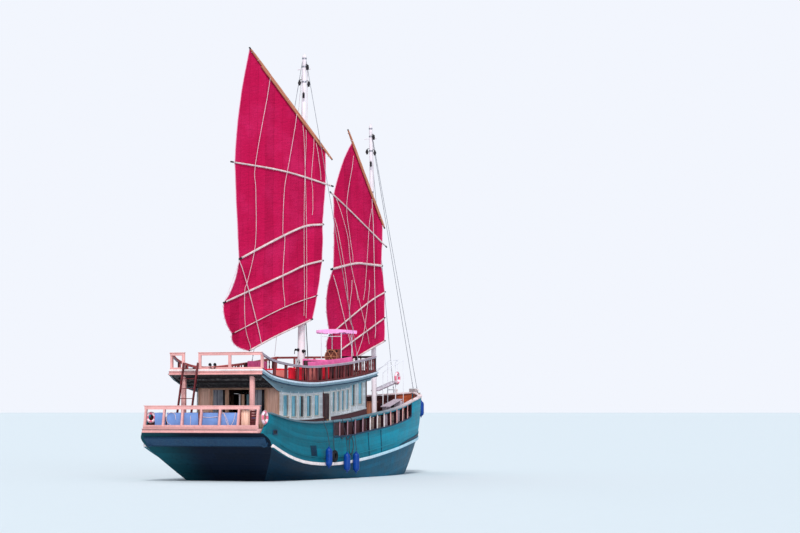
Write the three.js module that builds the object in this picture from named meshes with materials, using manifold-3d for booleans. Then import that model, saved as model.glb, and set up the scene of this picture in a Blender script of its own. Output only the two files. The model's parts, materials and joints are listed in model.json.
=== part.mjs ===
// Two-masted wooden junk: raked transom, swept sheer, deck house with an open upper deck,
// two fully battened sails. Millimetres, +X to the bow, +Y to port, +Z up.
// The origin is on the centreline at the waterline, amidships.

import * as THREE from "three";
import { mergeVertices } from "three/addons/utils/BufferGeometryUtils.js";
import Module from "manifold-3d";

const wasm = await Module();
wasm.setup();

// Driving dimensions
const M = 1000;
const GAP = 0.3;
const STATIONS = 26;
const BULWARK_T = 110;
const CAP_T = 80;
const CAP_OUT = 55;
const CAP_IN = 75;
const KEEL_T = 280;
const KEEL_Z = -1750;
const PLATFORM_Z = 2250;
const PLATFORM_T = 180;
const PLATFORM_AFT = -10850;
const PLATFORM_HALF = 2700;
const AFT_RAIL_TOP = 3210;
const AFT_RAIL_LEAN = 190;
const UPPER_T = 240;
const UPPER_RAIL_H = 700;
const CABIN_T = 70;
const CABIN_AFT = -7000;
const CABIN_FORE = 1700;
const DOOR_W = 640;
const SWING_GAP = 8;
const MAIN_X = -590;
const MAIN_RAKE = 1.2;
const MAIN_TOP = 19300;
const FORE_X = 8160;
const FORE_RAKE = -2.0;
const FORE_TOP = 16800;

const COLOURS = {
  hull: [0x1f6f7c, 0.45, 0],
  bottom: [0x3a4a52, 0.6, 0],
  white: [0xeeeae0, 0.4, 0],
  teal: [0x2c8592, 0.45, 0],
  salmon: [0xe6a28f, 0.5, 0],
  wood: [0x9a6244, 0.6, 0],
  wall: [0x7c8f9a, 0.55, 0],
  deck: [0xb08a68, 0.7, 0],
  glass: [0x3f7fae, 0.1, 0],
  dark: [0x3a2a2a, 0.6, 0],
  mast: [0xf0eef4, 0.4, 0],
  spar: [0xe9dccb, 0.6, 0],
  sail: [0xbc1b52, 0.9, 0],
  wire: [0xb9bdc2, 0.35, 0.9],
  canopy: [0xf09fd0, 0.85, 0],
  cushion: [0xd6324f, 0.85, 0],
  blue: [0x3a6fae, 0.8, 0],
  fender: [0x18478a, 0.5, 0],
  bronze: [0xb08a4a, 0.3, 0.9],
};

// Hull levels. Columns: distance forward, height, half breadth, all in metres.
const LEVELS = {
  floor: [
    [-7.8, -0.45, 0.3], [-6, -0.85, 0.15], [-3, -1.1, 0.15], [1, -1.2, 0.15],
    [5, -1.18, 0.15], [8, -1.06, 0.12], [9.8, -0.95, 0.06],
  ],
  turn: [
    [-7.88, -0.38, 0.85], [-6, -0.65, 1.35], [-3, -0.9, 1.85], [1, -0.98, 1.95],
    [4, -0.95, 1.65], [6.5, -0.9, 1.05], [8.5, -0.8, 0.5], [10.15, -0.7, 0.06],
  ],
  bilge: [
    [-8.02, -0.25, 1.4], [-6, -0.4, 2.1], [-3, -0.5, 2.6], [1, -0.5, 2.66],
    [4, -0.48, 2.35], [6.5, -0.45, 1.7], [8.5, -0.42, 0.98], [10.6, -0.4, 0.06],
  ],
  water: [
    [-8.3, 0, 1.85], [-7, 0, 2.3], [-5, 0, 2.68], [-2, 0, 2.93], [1, 0, 2.92],
    [4, 0, 2.65], [6.5, 0, 2.1], [8.5, 0, 1.4], [10, 0, 0.7], [11.1, 0, 0.06],
  ],
  wale: [
    [-10, 1.53, 2.98], [-9.2, 1.27, 3.01], [-8.3, 1.02, 3.05], [-7, 0.8, 3.08],
    [-5, 0.68, 3.11], [-3, 0.7, 3.12], [-0.2, 0.88, 3.12], [1.5, 1.04, 3.07],
    [3.8, 1.28, 2.95], [5.9, 1.48, 2.62], [8, 1.62, 2.12], [9.6, 1.7, 1.58],
    [11, 1.77, 0.96], [12, 1.82, 0.42], [12.5, 1.84, 0.1],
  ],
  deck: [
    [-10.59, 2.06, 2.86], [-9, 1.95, 2.93], [-7, 1.74, 3], [-5, 1.62, 3.05],
    [-2, 1.72, 3.08], [1.3, 1.98, 3.05], [4, 2.2, 2.93], [6.5, 2.5, 2.6],
    [8.5, 2.72, 2.13], [10, 2.85, 1.62], [11.2, 2.95, 1.06], [12.2, 3.03, 0.5],
    [12.75, 3.08, 0.13],
  ],
  cap: [
    [-9.85, 2.94, 2.88], [-8.4, 2.7, 2.96], [-7.2, 2.58, 3], [-6.2, 2.54, 3.03],
    [-5, 2.54, 3.06], [-3, 2.62, 3.09], [-1.6, 2.68, 3.09], [-0.2, 2.81, 3.08],
    [1.4, 2.94, 3.05], [3, 3.07, 2.98], [4.85, 3.28, 2.86], [7, 3.55, 2.5],
    [9, 3.7, 2], [10.3, 3.78, 1.53], [11.3, 3.84, 1.06], [12.2, 3.9, 0.58],
    [12.95, 3.95, 0.14],
  ],
};

// Upper deck edge, with the same columns.
const UPPER = [
  [-9.3, 4.78, 2.22], [-8.57, 4.52, 2.32], [-7.41, 4.35, 2.46], [-6.18, 4.26, 2.6],
  [-4.71, 4.25, 2.66], [-3.19, 4.33, 2.7], [-1.1, 4.47, 2.72], [0.6, 4.63, 2.7],
  [2.3, 4.82, 2.6],
];

// Deck house wall, outside. Columns: distance forward, half width in metres.
const CABIN = [[-7, 2], [-5.6, 2.13], [-4, 2.22], [-1, 2.27], [1.7, 2.28]];

// Smooth curve through a table, by column
function curve(table, column) {
  const xs = table.map((row) => row[0] * M);
  const ys = table.map((row) => row[column] * M);
  const last = xs.length - 1;
  const slope = (i) => {
    const a = Math.max(i - 1, 0);
    const b = Math.min(i + 1, last);
    return (ys[b] - ys[a]) / (xs[b] - xs[a]);
  };
  return (x) => {
    let i = 0;
    while (i < last - 1 && x > xs[i + 1]) i += 1;
    const h = xs[i + 1] - xs[i];
    const t = Math.min(Math.max((x - xs[i]) / h, 0), 1);
    const t2 = t * t;
    const t3 = t2 * t;
    return ys[i] * (2 * t3 - 3 * t2 + 1) + ys[i + 1] * (3 * t2 - 2 * t3)
      + slope(i) * h * (t3 - 2 * t2 + t) + slope(i + 1) * h * (t3 - t2);
  };
}

function levelCurve(table) {
  return {
    aft: table[0][0] * M,
    fore: table[table.length - 1][0] * M,
    z: curve(table, 1),
    half: curve(table, 2),
  };
}

const LEVEL = Object.fromEntries(Object.entries(LEVELS).map(([k, t]) => [k, levelCurve(t)]));
const UPPER_DECK = levelCurve(UPPER);

// The house's sides are straight between the table's rows
function cabinHalf(x) {
  let i = 0;
  while (i < CABIN.length - 2 && x > CABIN[i + 1][0] * M) i += 1;
  const [x0, half0] = CABIN[i];
  const [x1, half1] = CABIN[i + 1];
  return (half0 + (half1 - half0) * (x / M - x0) / (x1 - x0)) * M;
}

// Stations crowd a little towards both ends
const share = (i, count) => 0.5 - 0.5 * Math.cos(Math.PI * (0.08 + 0.84 * i / count));
const SHARES = Array.from({ length: STATIONS + 1 }, (_, i) => {
  const low = share(0, STATIONS);
  return (share(i, STATIONS) - low) / (1 - 2 * low);
});

function at(level, i) {
  const x = level.aft + (level.fore - level.aft) * SHARES[i];
  return { x, z: level.z(x), half: level.half(x) };
}

// Closed body through rings of points; each end is closed from point to point
function loft(rings) {
  const n = rings[0].length;
  const points = rings.flat();
  const index = [];
  for (let r = 0; r < rings.length - 1; r += 1) {
    for (let k = 0; k < n; k += 1) {
      const a = r * n + k;
      const b = r * n + (k + 1) % n;
      index.push(a, b, b + n, a, b + n, a + n);
    }
  }
  const top = (rings.length - 1) * n;
  for (let k = 0; k < n / 2 - 1; k += 1) {
    const near = [k, k + 1, n - 2 - k, n - 1 - k];
    index.push(near[0], near[2], near[1], near[0], near[3], near[2]);
    const far = near.map((v) => v + top);
    index.push(far[0], far[1], far[2], far[0], far[2], far[3]);
  }
  const geometry = new THREE.BufferGeometry();
  geometry.setAttribute("position", new THREE.Float32BufferAttribute(points.flat(), 3));
  geometry.setIndex(index);
  return facingOut(geometry);
}

function volumeOf(geometry) {
  const p = geometry.attributes.position;
  const ids = geometry.index.array;
  const [a, b, c] = [new THREE.Vector3(), new THREE.Vector3(), new THREE.Vector3()];
  let sum = 0;
  for (let i = 0; i < ids.length; i += 3) {
    a.fromBufferAttribute(p, ids[i]);
    b.fromBufferAttribute(p, ids[i + 1]);
    c.fromBufferAttribute(p, ids[i + 2]);
    sum += a.dot(b.cross(c));
  }
  return sum / 6;
}

function facingOut(geometry) {
  if (volumeOf(geometry) < 0) {
    const ids = geometry.index.array;
    for (let i = 0; i < ids.length; i += 3) {
      [ids[i], ids[i + 1]] = [ids[i + 1], ids[i]];
    }
  }
  return geometry;
}

function solid(geometry) {
  const bare = geometry.clone();
  bare.deleteAttribute("normal");
  bare.deleteAttribute("uv");
  const merged = mergeVertices(bare, 0.01);
  return new wasm.Manifold(new wasm.Mesh({
    numProp: 3,
    vertProperties: new Float32Array(merged.attributes.position.array),
    triVerts: new Uint32Array(merged.index.array),
  }));
}

function shape(body) {
  const mesh = body.getMesh();
  const geometry = new THREE.BufferGeometry();
  geometry.setAttribute("position", new THREE.Float32BufferAttribute(mesh.vertProperties, 3));
  geometry.setIndex(Array.from(mesh.triVerts));
  return geometry;
}

const join = (parts) => parts.map(solid).reduce((a, b) => a.add(b));
const cut = (body, cutters) => cutters.map(solid).reduce((a, b) => a.subtract(b), body);
const fused = (parts) => shape(join(parts));

// Plain forms
function block(x0, x1, y0, y1, z0, z1) {
  const g = new THREE.BoxGeometry(x1 - x0, y1 - y0, z1 - z0);
  return g.translate((x0 + x1) / 2, (y0 + y1) / 2, (z0 + z1) / 2);
}

function beam(from, to, wide, deep) {
  const a = new THREE.Vector3(...from);
  const b = new THREE.Vector3(...to);
  const g = new THREE.BoxGeometry(wide, deep, a.distanceTo(b));
  const turn = new THREE.Matrix4().lookAt(b, a, new THREE.Vector3(0, 1, 0.001));
  return g.applyMatrix4(turn).translate((a.x + b.x) / 2, (a.y + b.y) / 2, (a.z + b.z) / 2);
}

function rod(from, to, r0, r1 = r0, sides = 10) {
  const a = new THREE.Vector3(...from);
  const b = new THREE.Vector3(...to);
  const g = new THREE.CylinderGeometry(r1, r0, a.distanceTo(b), sides);
  const turn = new THREE.Quaternion().setFromUnitVectors(
    new THREE.Vector3(0, 1, 0),
    b.clone().sub(a).normalize(),
  );
  return g.applyQuaternion(turn).translate((a.x + b.x) / 2, (a.y + b.y) / 2, (a.z + b.z) / 2);
}

// Flat plate with an outline in x and z, between two y
function plate(outline, y0, y1) {
  const form = new THREE.Shape(outline.map(([x, z]) => new THREE.Vector2(x, z)));
  const g = new THREE.ExtrudeGeometry(form, { depth: y1 - y0, bevelEnabled: false });
  return g.rotateX(Math.PI / 2).translate(0, y1, 0);
}

// A strip along a curve at the hull's side. Each ring has x and four pairs of y and z.
function strip(rows) {
  return loft(rows.map(({ x, ring }) => ring.map(([y, z], k) => [x[k] ?? x[0], y, z])));
}

function hullBody(grow) {
  const order = ["floor", "turn", "bilge", "water", "wale", "deck"];
  const lift = { floor: -grow, deck: grow };
  const rings = SHARES.map((_, i) => {
    const side = order.map((name) => {
      const p = at(LEVEL[name], i);
      const end = (i === 0 ? -grow : 0) + (i === STATIONS ? grow : 0);
      return [p.x + end, p.half + grow, p.z + (lift[name] ?? 0)];
    });
    const other = side.map(([x, y, z]) => [x, -y, z]).reverse();
    return [...side, ...other];
  });
  return loft(rings);
}

function bulwark(side) {
  const rows = SHARES.map((_, i) => {
    const d = at(LEVEL.deck, i);
    const c = at(LEVEL.cap, i);
    const top = c.z - CAP_T;
    return {
      x: [d.x, c.x, c.x, d.x],
      ring: [
        [side * d.half, d.z + GAP], [side * c.half, top],
        [side * (c.half - BULWARK_T), top], [side * (d.half - BULWARK_T), d.z + GAP],
      ],
    };
  });
  return cut(solid(strip(rows)), bulwarkBays(side));
}

// The low stretch amidships, open between posts
const BAYS = { count: 11, aft: -3150, pitch: 868, post: 170, drop: 720, strip: 60 };

function bulwarkBays(side) {
  return Array.from({ length: BAYS.count }, (_, k) => {
    const start = BAYS.aft + k * BAYS.pitch + BAYS.post / 2;
    const end = start + BAYS.pitch - BAYS.post;
    const rows = [start, end].map((x) => {
      const top = LEVEL.cap.z(x) - CAP_T - BAYS.strip;
      const low = LEVEL.cap.z(x) - BAYS.drop;
      const out = side * (LEVEL.cap.half(x) + 300);
      const inner = side * (LEVEL.cap.half(x) - 500);
      return { x: [x], ring: [[out, low], [out, top], [inner, top], [inner, low]] };
    });
    return strip(rows);
  });
}

function capRail(side, grow = 0) {
  const rows = SHARES.map((_, i) => {
    const c = at(LEVEL.cap, i);
    const low = c.z - CAP_T + GAP - grow;
    const top = c.z + grow;
    const out = side * (c.half + CAP_OUT + grow);
    const inner = side * Math.max(c.half - BULWARK_T - CAP_IN - grow, 1);
    return { x: [c.x], ring: [[out, low], [out, top], [inner, top], [inner, low]] };
  });
  return strip(rows);
}

// Rubbing strake along the hull's wale line
function strake(side, high, proud, cutters) {
  const rows = SHARES.map((_, i) => {
    const { x, z, half } = at(LEVEL.wale, i);
    const out = side * (half + proud);
    const inner = side * (half - 25);
    const low = z - high / 2;
    const top = z + high / 2;
    return { x: [x], ring: [[out, low], [out, top], [inner, top], [inner, low]] };
  });
  return shape(cut(solid(strip(rows)), cutters));
}

// Stem timber. Columns: distance forward, height, half width aft, half width fore, depth.
const STEM = [
  [9.8, -0.95, 0.12, 0.08, 0.22], [10.15, -0.7, 0.12, 0.08, 0.2], [10.6, -0.4, 0.12, 0.08, 0.18],
  [11.1, 0, 0.12, 0.07, 0.16], [12.5, 1.84, 0.15, 0.08, 0.15], [12.75, 3.08, 0.18, 0.1, 0.15],
  [12.95, 3.87, 0.2, 0.12, 0.16], [12.95, 4.12, 0.2, 0.12, 0.18],
];

function stemPost(grow) {
  const last = STEM.length - 1;
  const rings = STEM.map(([x, z, wide, narrow, deep], i) => {
    const back = x * M + GAP - grow;
    const front = (x + deep) * M + grow;
    const level = z * M + (i === 0 ? -grow : 0) + (i === last ? grow : 0);
    return [
      [back, wide * M + grow, level], [front, narrow * M + grow, level],
      [front, -narrow * M - grow, level], [back, -wide * M - grow, level],
    ];
  });
  return loft(rings);
}

function keel(grown) {
  const outline = [
    [-7450, KEEL_Z], [-7450, KEEL_Z + 110], [-5750, KEEL_Z + 110], [-5550, -1350],
    [-5550, -400], [9300, -700], [9300, -950 - 2 * GAP], [10000, -950 - 2 * GAP],
    [9650, -1350], [9000, KEEL_Z],
  ];
  return shape(cut(solid(plate(outline, -KEEL_T / 2, KEEL_T / 2)), [grown]));
}

// Upper deck slab. A grown copy cuts the walls and posts that meet it.
function upperDeck(grow, rise = 0) {
  const xs = [-9300, -8900, -8500, -8000, -7400, -6800, -6100, -5400, -4600, -3800, -3000,
    -2200, -1400, -600, 200, 900, 1600, 2300];
  const last = xs.length - 1;
  const rows = xs.map((x, i) => {
    const z = UPPER_DECK.z(x);
    const half = UPPER_DECK.half(x) + grow;
    const end = x + (i === 0 ? -grow : 0) + (i === last ? grow : 0);
    const low = z - UPPER_T - grow;
    const high = z + grow + rise;
    return { x: [end], ring: [[half, low], [half, high], [-half, high], [-half, low]] };
  });
  return strip(rows);
}

// Rail along one side of the upper deck
const SIDE_RAIL = { aft: -9250, fore: 2250, posts: 12, steps: 14, inset: 90 };

function railBar(side, low, high, grow = 0) {
  const { aft, fore, steps, inset } = SIDE_RAIL;
  return strip(Array.from({ length: steps + 1 }, (_, i) => {
    const x = aft + (fore - aft) * i / steps;
    const half = UPPER_DECK.half(x) - inset;
    const z = UPPER_DECK.z(x);
    const out = side * (half + 60 + grow);
    const inner = side * (half - 60 - grow);
    const base = z + low - grow;
    const top = z + high + grow;
    return { x: [x], ring: [[out, base], [out, top], [inner, top], [inner, base]] };
  }));
}

function sideRail(side, deckGrown) {
  const { aft, fore, posts, inset } = SIDE_RAIL;
  const uprights = Array.from({ length: posts + 1 }, (_, k) => {
    const x = aft + 80 + (fore - aft - 160) * k / posts;
    const y = side * (UPPER_DECK.half(x) - inset);
    const z = UPPER_DECK.z(x);
    return block(x - 80, x + 80, y - 40, y + 40, z - 40, z + UPPER_RAIL_H - 30);
  });
  return shape(cut(join([
    railBar(side, UPPER_RAIL_H - 70, UPPER_RAIL_H), railBar(side, -60, 70),
    ...uprights, ...endRail(side), ...foreRail(side),
  ]), [deckGrown]));
}

// Rail across the aft end: long to starboard, short to port, open at the ladder
function endRail(side) {
  const x = -9230;
  const z = UPPER_DECK.z(-9300);
  const corner = UPPER_DECK.half(-9300) - 50;
  const [y0, y1] = side < 0 ? [-corner, 830] : [1500, corner];
  const posts = side < 0 ? [-650, 770] : [1560];
  const pieces = [
    block(x - 40, x + 40, y0, y1, z + UPPER_RAIL_H - 110, z + UPPER_RAIL_H),
    block(x - 40, x + 40, y0, y1, z - 60, z + 80),
  ];
  posts.forEach((y) => {
    pieces.push(block(x - 40, x + 40, y - 60, y + 60, z - 40, z + UPPER_RAIL_H - 40));
  });
  return pieces;
}

// Rail across the fore end, in two halves that meet on the centreline
function foreRail(side) {
  const x = SIDE_RAIL.fore - 40;
  const z = UPPER_DECK.z(x);
  const corner = UPPER_DECK.half(x) - SIDE_RAIL.inset;
  const [y0, y1] = side < 0 ? [-corner, -GAP / 2] : [GAP / 2, corner];
  const bar = (low, high) => block(x - 40, x + 40, y0, y1, z + low, z + high);
  const posts = [550, 1570].map((y) => block(
    x - 40, x + 40, side * y - 40, side * y + 40, z - 40, z + UPPER_RAIL_H - 30,
  ));
  return [bar(UPPER_RAIL_H - 70, UPPER_RAIL_H), bar(-60, 70), ...posts];
}

function aftRail() {
  const half = PLATFORM_HALF;
  const base = PLATFORM_Z + GAP;
  const count = 6;
  const lean = (z) => PLATFORM_AFT + 110 + AFT_RAIL_LEAN * (z - base) / (AFT_RAIL_TOP - base);
  const across = (low, high, deep) => {
    const x = lean((low + high) / 2);
    return block(x - deep / 2, x + deep / 2, -half, half, low, high);
  };
  const pieces = [across(base, base + 150, 90), across(AFT_RAIL_TOP - 150, AFT_RAIL_TOP, 130)];
  for (let k = 0; k <= count; k += 1) {
    const y = (half - 60) * (2 * k / count - 1);
    const foot = [lean(base + 100), y, base + 100];
    const head = [lean(AFT_RAIL_TOP - 60), y, AFT_RAIL_TOP - 60];
    pieces.push(beam(foot, head, 120, 80));
  }
  return fused(pieces);
}

// Deck house side wall, cut to the deck below and the deck above
function sideWall(side, cutters) {
  const rows = CABIN.map(([x]) => {
    const out = side * cabinHalf(x * M);
    const inner = out - side * CABIN_T;
    return { x: [x * M], ring: [[out, 1200], [out, 5300], [inner, 5300], [inner, 1200]] };
  });
  return shape(cut(solid(strip(rows)), [...cutters, ...sideHoles(side)]));
}

// Side windows. Columns: centre, width, top and bottom below the upper deck's edge, metres.
const SIDE_WINDOWS = [
  [-6.55, 0.46, 0.6, 1.5], [-5.85, 0.46, 0.6, 1.5], [-5.15, 0.46, 0.6, 1.5],
  [-4.45, 0.46, 0.6, 1.5], [-3.7, 0.46, 0.6, 1.5],
  [-1.9, 0.3, 0.57, 1.45], [-1.4, 0.3, 0.57, 1.45], [-0.9, 0.3, 0.57, 1.45],
  [-0.4, 0.3, 0.57, 1.45], [0.25, 0.42, 0.34, 1.35], [1.05, 0.46, 0.34, 1.35],
];
const SIDE_DOOR = { aft: -3010, sill: 60, drop: 560 };

function sideHoles(side) {
  const hole = (x0, x1, z0, z1) => {
    const y = side * cabinHalf((x0 + x1) / 2);
    return block(x0, x1, y - 200, y + 200, z0, z1);
  };
  const holes = SIDE_WINDOWS.map(([x, wide, top, low]) => {
    const edge = UPPER_DECK.z(x * M);
    return hole((x - wide / 2) * M, (x + wide / 2) * M, edge - low * M, edge - top * M);
  });
  const { aft, sill, drop } = SIDE_DOOR;
  const fore = aft + DOOR_W;
  holes.push(hole(aft, fore, LEVEL.deck.z(fore) + sill, UPPER_DECK.z(aft) - drop));
  return holes;
}

function sideDoor(side) {
  const { aft, sill, drop } = SIDE_DOOR;
  const fore = aft + DOOR_W;
  const out = side * (cabinHalf(fore) - 2);
  const inner = out - side * 45;
  const low = LEVEL.deck.z(fore) + sill;
  const high = UPPER_DECK.z(aft) - drop;
  const leaf = block(
    aft + SWING_GAP, fore - SWING_GAP,
    Math.min(out, inner), Math.max(out, inner), low + SWING_GAP, high - SWING_GAP,
  );
  const pinX = fore - SWING_GAP - 20;
  const pin = rod([pinX, out, low + GAP], [pinX, out, low + 60], 12);
  return fused([leaf, pin]);
}

const GLASS = { aft: -6880, fore: 1500, t: 14 };

function sideGlass(side) {
  const turns = CABIN.map(([x]) => x * M).filter((x) => x > GLASS.aft && x < GLASS.fore);
  const rows = [GLASS.aft, ...turns, GLASS.fore].map((x) => {
    const out = side * (cabinHalf(x) - CABIN_T - GAP);
    const inner = out - side * GLASS.t;
    const edge = UPPER_DECK.z(x);
    const low = edge - 1560;
    const high = edge - 320;
    return { x: [x], ring: [[out, low], [out, high], [inner, high], [inner, low]] };
  });
  const { aft, drop } = SIDE_DOOR;
  const y = side * cabinHalf(aft);
  const doorway = block(
    aft - 60, aft + DOOR_W + 60, y - 300, y + 300, 1500, UPPER_DECK.z(aft) - drop + 40,
  );
  return shape(cut(solid(strip(rows)), [doorway]));
}

// Walls across the deck house. Windows: centre, width, height of sill and head.
const AFT_WINDOWS = [[-0.95, 0.6, 2.85, 3.92], [0.95, 0.6, 2.85, 3.92]];
const FORE_WINDOWS = [
  [-1.45, 0.8, 3.2, 4.1], [-0.5, 0.6, 3.2, 4.1], [0.5, 0.6, 3.2, 4.1], [1.45, 0.8, 3.2, 4.1],
];

function crossWall(x0, half, windows, door, cutters) {
  const holes = windows.map(([y, wide, low, high]) => block(
    x0 - 200, x0 + 300, (y - wide / 2) * M, (y + wide / 2) * M, low * M, high * M,
  ));
  if (door) holes.push(block(x0 - 200, x0 + 300, door[0], door[1], door[2], door[3]));
  const wall = block(x0, x0 + CABIN_T, -half, half, 1200, 5300);
  return shape(cut(solid(wall), [...cutters, ...holes]));
}

// Sails. Each is flat along its battens and lies on the starboard side of its mast.
// Cloth rows: luff and leech, each as distance aft of the mast and height, in metres.
// Spars: a list of points, each as distance aft of the mast and height, in metres.
const SAIL_SIDE = -320;
const CLOTH_T = 16;
const BATTEN_R = 42;
const YARD_R = 60;
const SAILS = {
  main: {
    x: MAIN_X, rake: MAIN_RAKE, top: MAIN_TOP, foot: 200, head: 95, swing: 30, billow: 60,
    cloth: [
      [-1.01, 14.67, 3.26, 19.15], [-1.03, 14.1, 3.78, 16.58], [-1.03, 13.59, 3.99, 14.07],
      [-0.96, 12.6, 3.86, 11.9], [-0.88, 11.54, 3.7, 9.76], [-0.9, 10.72, 3.98, 8.6],
      [-0.88, 9.88, 4.5, 7.76], [-0.76, 9.1, 4.43, 7.05], [-0.61, 8.28, 4.03, 6.38],
      [-0.5, 7.75, 3.88, 5.9], [-0.36, 7.19, 3.12, 5.64],
    ],
    spars: {
      yard: [[-1.36, 14.58], [0.98, 16.95], [3.32, 19.33]],
      batten_1: [[-1.44, 13.35], [1.27, 13.85], [4.24, 14.08]],
      batten_2: [[-0.91, 11.56], [0.16, 11.4], [1.6, 10.78], [3.73, 9.72]],
      batten_3: [[-0.92, 9.9], [0.13, 9.62], [1.32, 9.1], [4.55, 7.73]],
      batten_4: [[-0.63, 8.29], [1.24, 7.65], [4.05, 6.36]],
      boom: [[-0.36, 7.19], [1.62, 6.36], [3.12, 5.64]],
    },
  },
  fore: {
    x: FORE_X, rake: FORE_RAKE, top: FORE_TOP, foot: 130, head: 75, swing: 18, billow: 50,
    cloth: [
      [-0.4, 12.02, 1.75, 15.97], [-0.39, 11.6, 2.5, 14.85], [-0.37, 11.18, 3.12, 13.37],
      [-0.32, 10.6, 3.12, 11.6], [-0.27, 10.02, 3.2, 9.92], [-0.4, 9.4, 3.72, 8.48],
      [-0.5, 8.75, 3.5, 6.76], [-0.48, 8.1, 3.75, 6.2], [-0.45, 7.48, 3.48, 5.67],
      [-0.45, 6.95, 3.5, 5.32], [-0.43, 6.4, 3.12, 5.02],
    ],
    spars: {
      yard: [[-0.5, 11.84], [0.8, 14.18], [2.09, 16.52]],
      batten_1: [[-0.66, 10.93], [2.1, 12.72], [3.4, 13.51]],
      batten_2: [[-0.29, 10.02], [0.77, 10.09], [1.7, 10.12], [3.41, 9.83]],
      batten_3: [[-0.52, 8.76], [0.81, 8.21], [3.6, 6.7]],
      batten_4: [[-0.47, 7.51], [1.18, 6.74], [3.55, 5.63]],
      boom: [[-0.45, 6.39], [1.2, 5.8], [3.2, 4.99]],
    },
  },
};

// Cloth between luff and leech; it bellies a little between its battens
function sailCloth(sail) {
  const cols = 5;
  const last = sail.cloth.length - 1;
  const rings = sail.cloth.map(([s0, z0, s1, z1], r) => {
    const between = r > 0 && r < last && (r % 2 === 1);
    const front = [];
    const back = [];
    for (let c = 0; c <= cols; c += 1) {
      const t = c / cols;
      const belly = between ? sail.billow * Math.sin(Math.PI * t) : 0;
      const x = -(s0 + (s1 - s0) * t) * M;
      const z = (z0 + (z1 - z0) * t) * M;
      front.push([x, SAIL_SIDE + belly - CLOTH_T / 2, z]);
      back.push([x, SAIL_SIDE + belly + CLOTH_T / 2, z]);
    }
    return [...front, ...back.reverse()];
  });
  return loft(rings);
}

// Height of a spar where it passes the mast
function heightAtMast(points) {
  const i = points.findIndex(([s], k) => k > 0 && s >= 0);
  const [s0, z0] = points[i - 1];
  const [s1, z1] = points[i];
  return (z0 + (z1 - z0) * (0 - s0) / (s1 - s0)) * M;
}

function mastRadius(sail, z) {
  return sail.foot + (sail.head - sail.foot) * z / sail.top;
}

// Round pole through its points, with the loop that holds it to the mast
const LOOP = { sides: 12, thick: 30, half: 30, slack: 12, snug: 0.5 };

function spar(sail, points, radius, slack, grow = 0) {
  const y = SAIL_SIDE - CLOTH_T / 2 - radius * 0.8;
  const path = points.map(([s, z]) => [-s * M, y, z * M]);
  const pieces = path.slice(1).map((p, i) => rod(path[i], p, radius + grow, radius + grow, 6));
  const z = heightAtMast(points);
  const inner = (mastRadius(sail, z) + slack) / Math.cos(Math.PI / LOOP.sides);
  const near = inner - grow;
  const outer = inner + LOOP.thick + grow;
  const half = LOOP.half + grow;
  const profile = [[near, -half], [outer, -half], [outer, half], [near, half], [near, -half]];
  const loop = new THREE.LatheGeometry(profile.map(([r, h]) => new THREE.Vector2(r, h)), LOOP.sides);
  pieces.push(loop.rotateX(Math.PI / 2).translate(0, 0, z));
  const arm = 25 + grow;
  pieces.push(block(-arm, arm, y - grow, -inner - 12, z - 20 - grow, z + 20 + grow));
  return pieces;
}

// Mast with a collar under the boom's loop, cut to the deck that it stands on
function mast(sail, cutter) {
  const seat = heightAtMast(sail.spars.boom) - LOOP.half - GAP;
  const r = mastRadius(sail, seat);
  return shape(cut(join([
    rod([0, 0, 1500], [0, 0, sail.top], mastRadius(sail, 1500), sail.head, 16),
    rod([0, 0, seat - 90], [0, 0, seat], r + 10, r + 50, 16),
  ]), [cutter]));
}

// Place in the mast's own frame: raked about Y, and for the sail swung about the mast
function mastFrame(sail) {
  const frame = new THREE.Group();
  frame.position.x = sail.x;
  frame.rotation.y = THREE.MathUtils.degToRad(sail.rake);
  return frame;
}

// Point on a mast's axis at a height, in the boat's frame
function onMast(sail, z) {
  const a = THREE.MathUtils.degToRad(sail.rake);
  return [sail.x + z * Math.sin(a), 0, z * Math.cos(a)];
}

function stay(sail, z, y, foot) {
  const [hx, , hz] = onMast(sail, z);
  const lean = THREE.MathUtils.degToRad(sail.rake);
  const around = rod(
    [0, 0, 1500], [0, 0, sail.top], mastRadius(sail, 1500) + GAP, sail.head + GAP, 16,
  );
  around.rotateY(lean).translate(sail.x, 0, 0);
  return shape(cut(solid(rod(foot, [hx, y, hz], 14, 14, 6)), [around]));
}

const group = new THREE.Group();

function add(name, geometry, colour, parent = group) {
  const [hex, roughness, metalness] = COLOURS[colour];
  const material = new THREE.MeshStandardMaterial({ color: hex, roughness, metalness });
  const mesh = new THREE.Mesh(geometry, material);
  mesh.name = name;
  parent.add(mesh);
  return mesh;
}

// Boss under the counter that takes the rudder's stock
const RUDDER_X = -7250;
const rudderTop = -640;
const rudderTrunk = () => rod([RUDDER_X, 0, rudderTop], [RUDDER_X, 0, -200], 130, 130, 12);

// Hull, keel, stem and strakes
const hullGrown = hullBody(GAP);
const stemGrown = stemPost(GAP);
const deckGrown = upperDeck(GAP);
const deckAndAbove = upperDeck(GAP, 4000);
add("hull", shape(join([hullBody(0), rudderTrunk()])), "hull");
add("keel", keel(hullGrown), "bottom");
add("stem_post", stemPost(0), "teal");

const SIDES = [["starboard", -1], ["port", 1]];
SIDES.forEach(([name, side]) => {
  add(`wale_${name}`, strake(side, 130, 95, [hullGrown, stemGrown]), "white");
  add(`bulwark_${name}`, shape(bulwark(side)), "teal");
  add(`cap_rail_${name}`, capRail(side), "white");
});

// Aft platform over the transom, and its rail
function aftPlatform() {
  const fore = CABIN_AFT - 20;
  const slab = block(PLATFORM_AFT, fore, -PLATFORM_HALF, PLATFORM_HALF, 1000, PLATFORM_Z);
  const under = block(PLATFORM_AFT - 10, fore - 180, -3500, 3500, 0, PLATFORM_Z - PLATFORM_T);
  return shape(cut(solid(slab), [hullGrown, under]));
}
add("aft_platform", aftPlatform(), "salmon");
add("aft_rail", aftRail(), "salmon");

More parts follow.
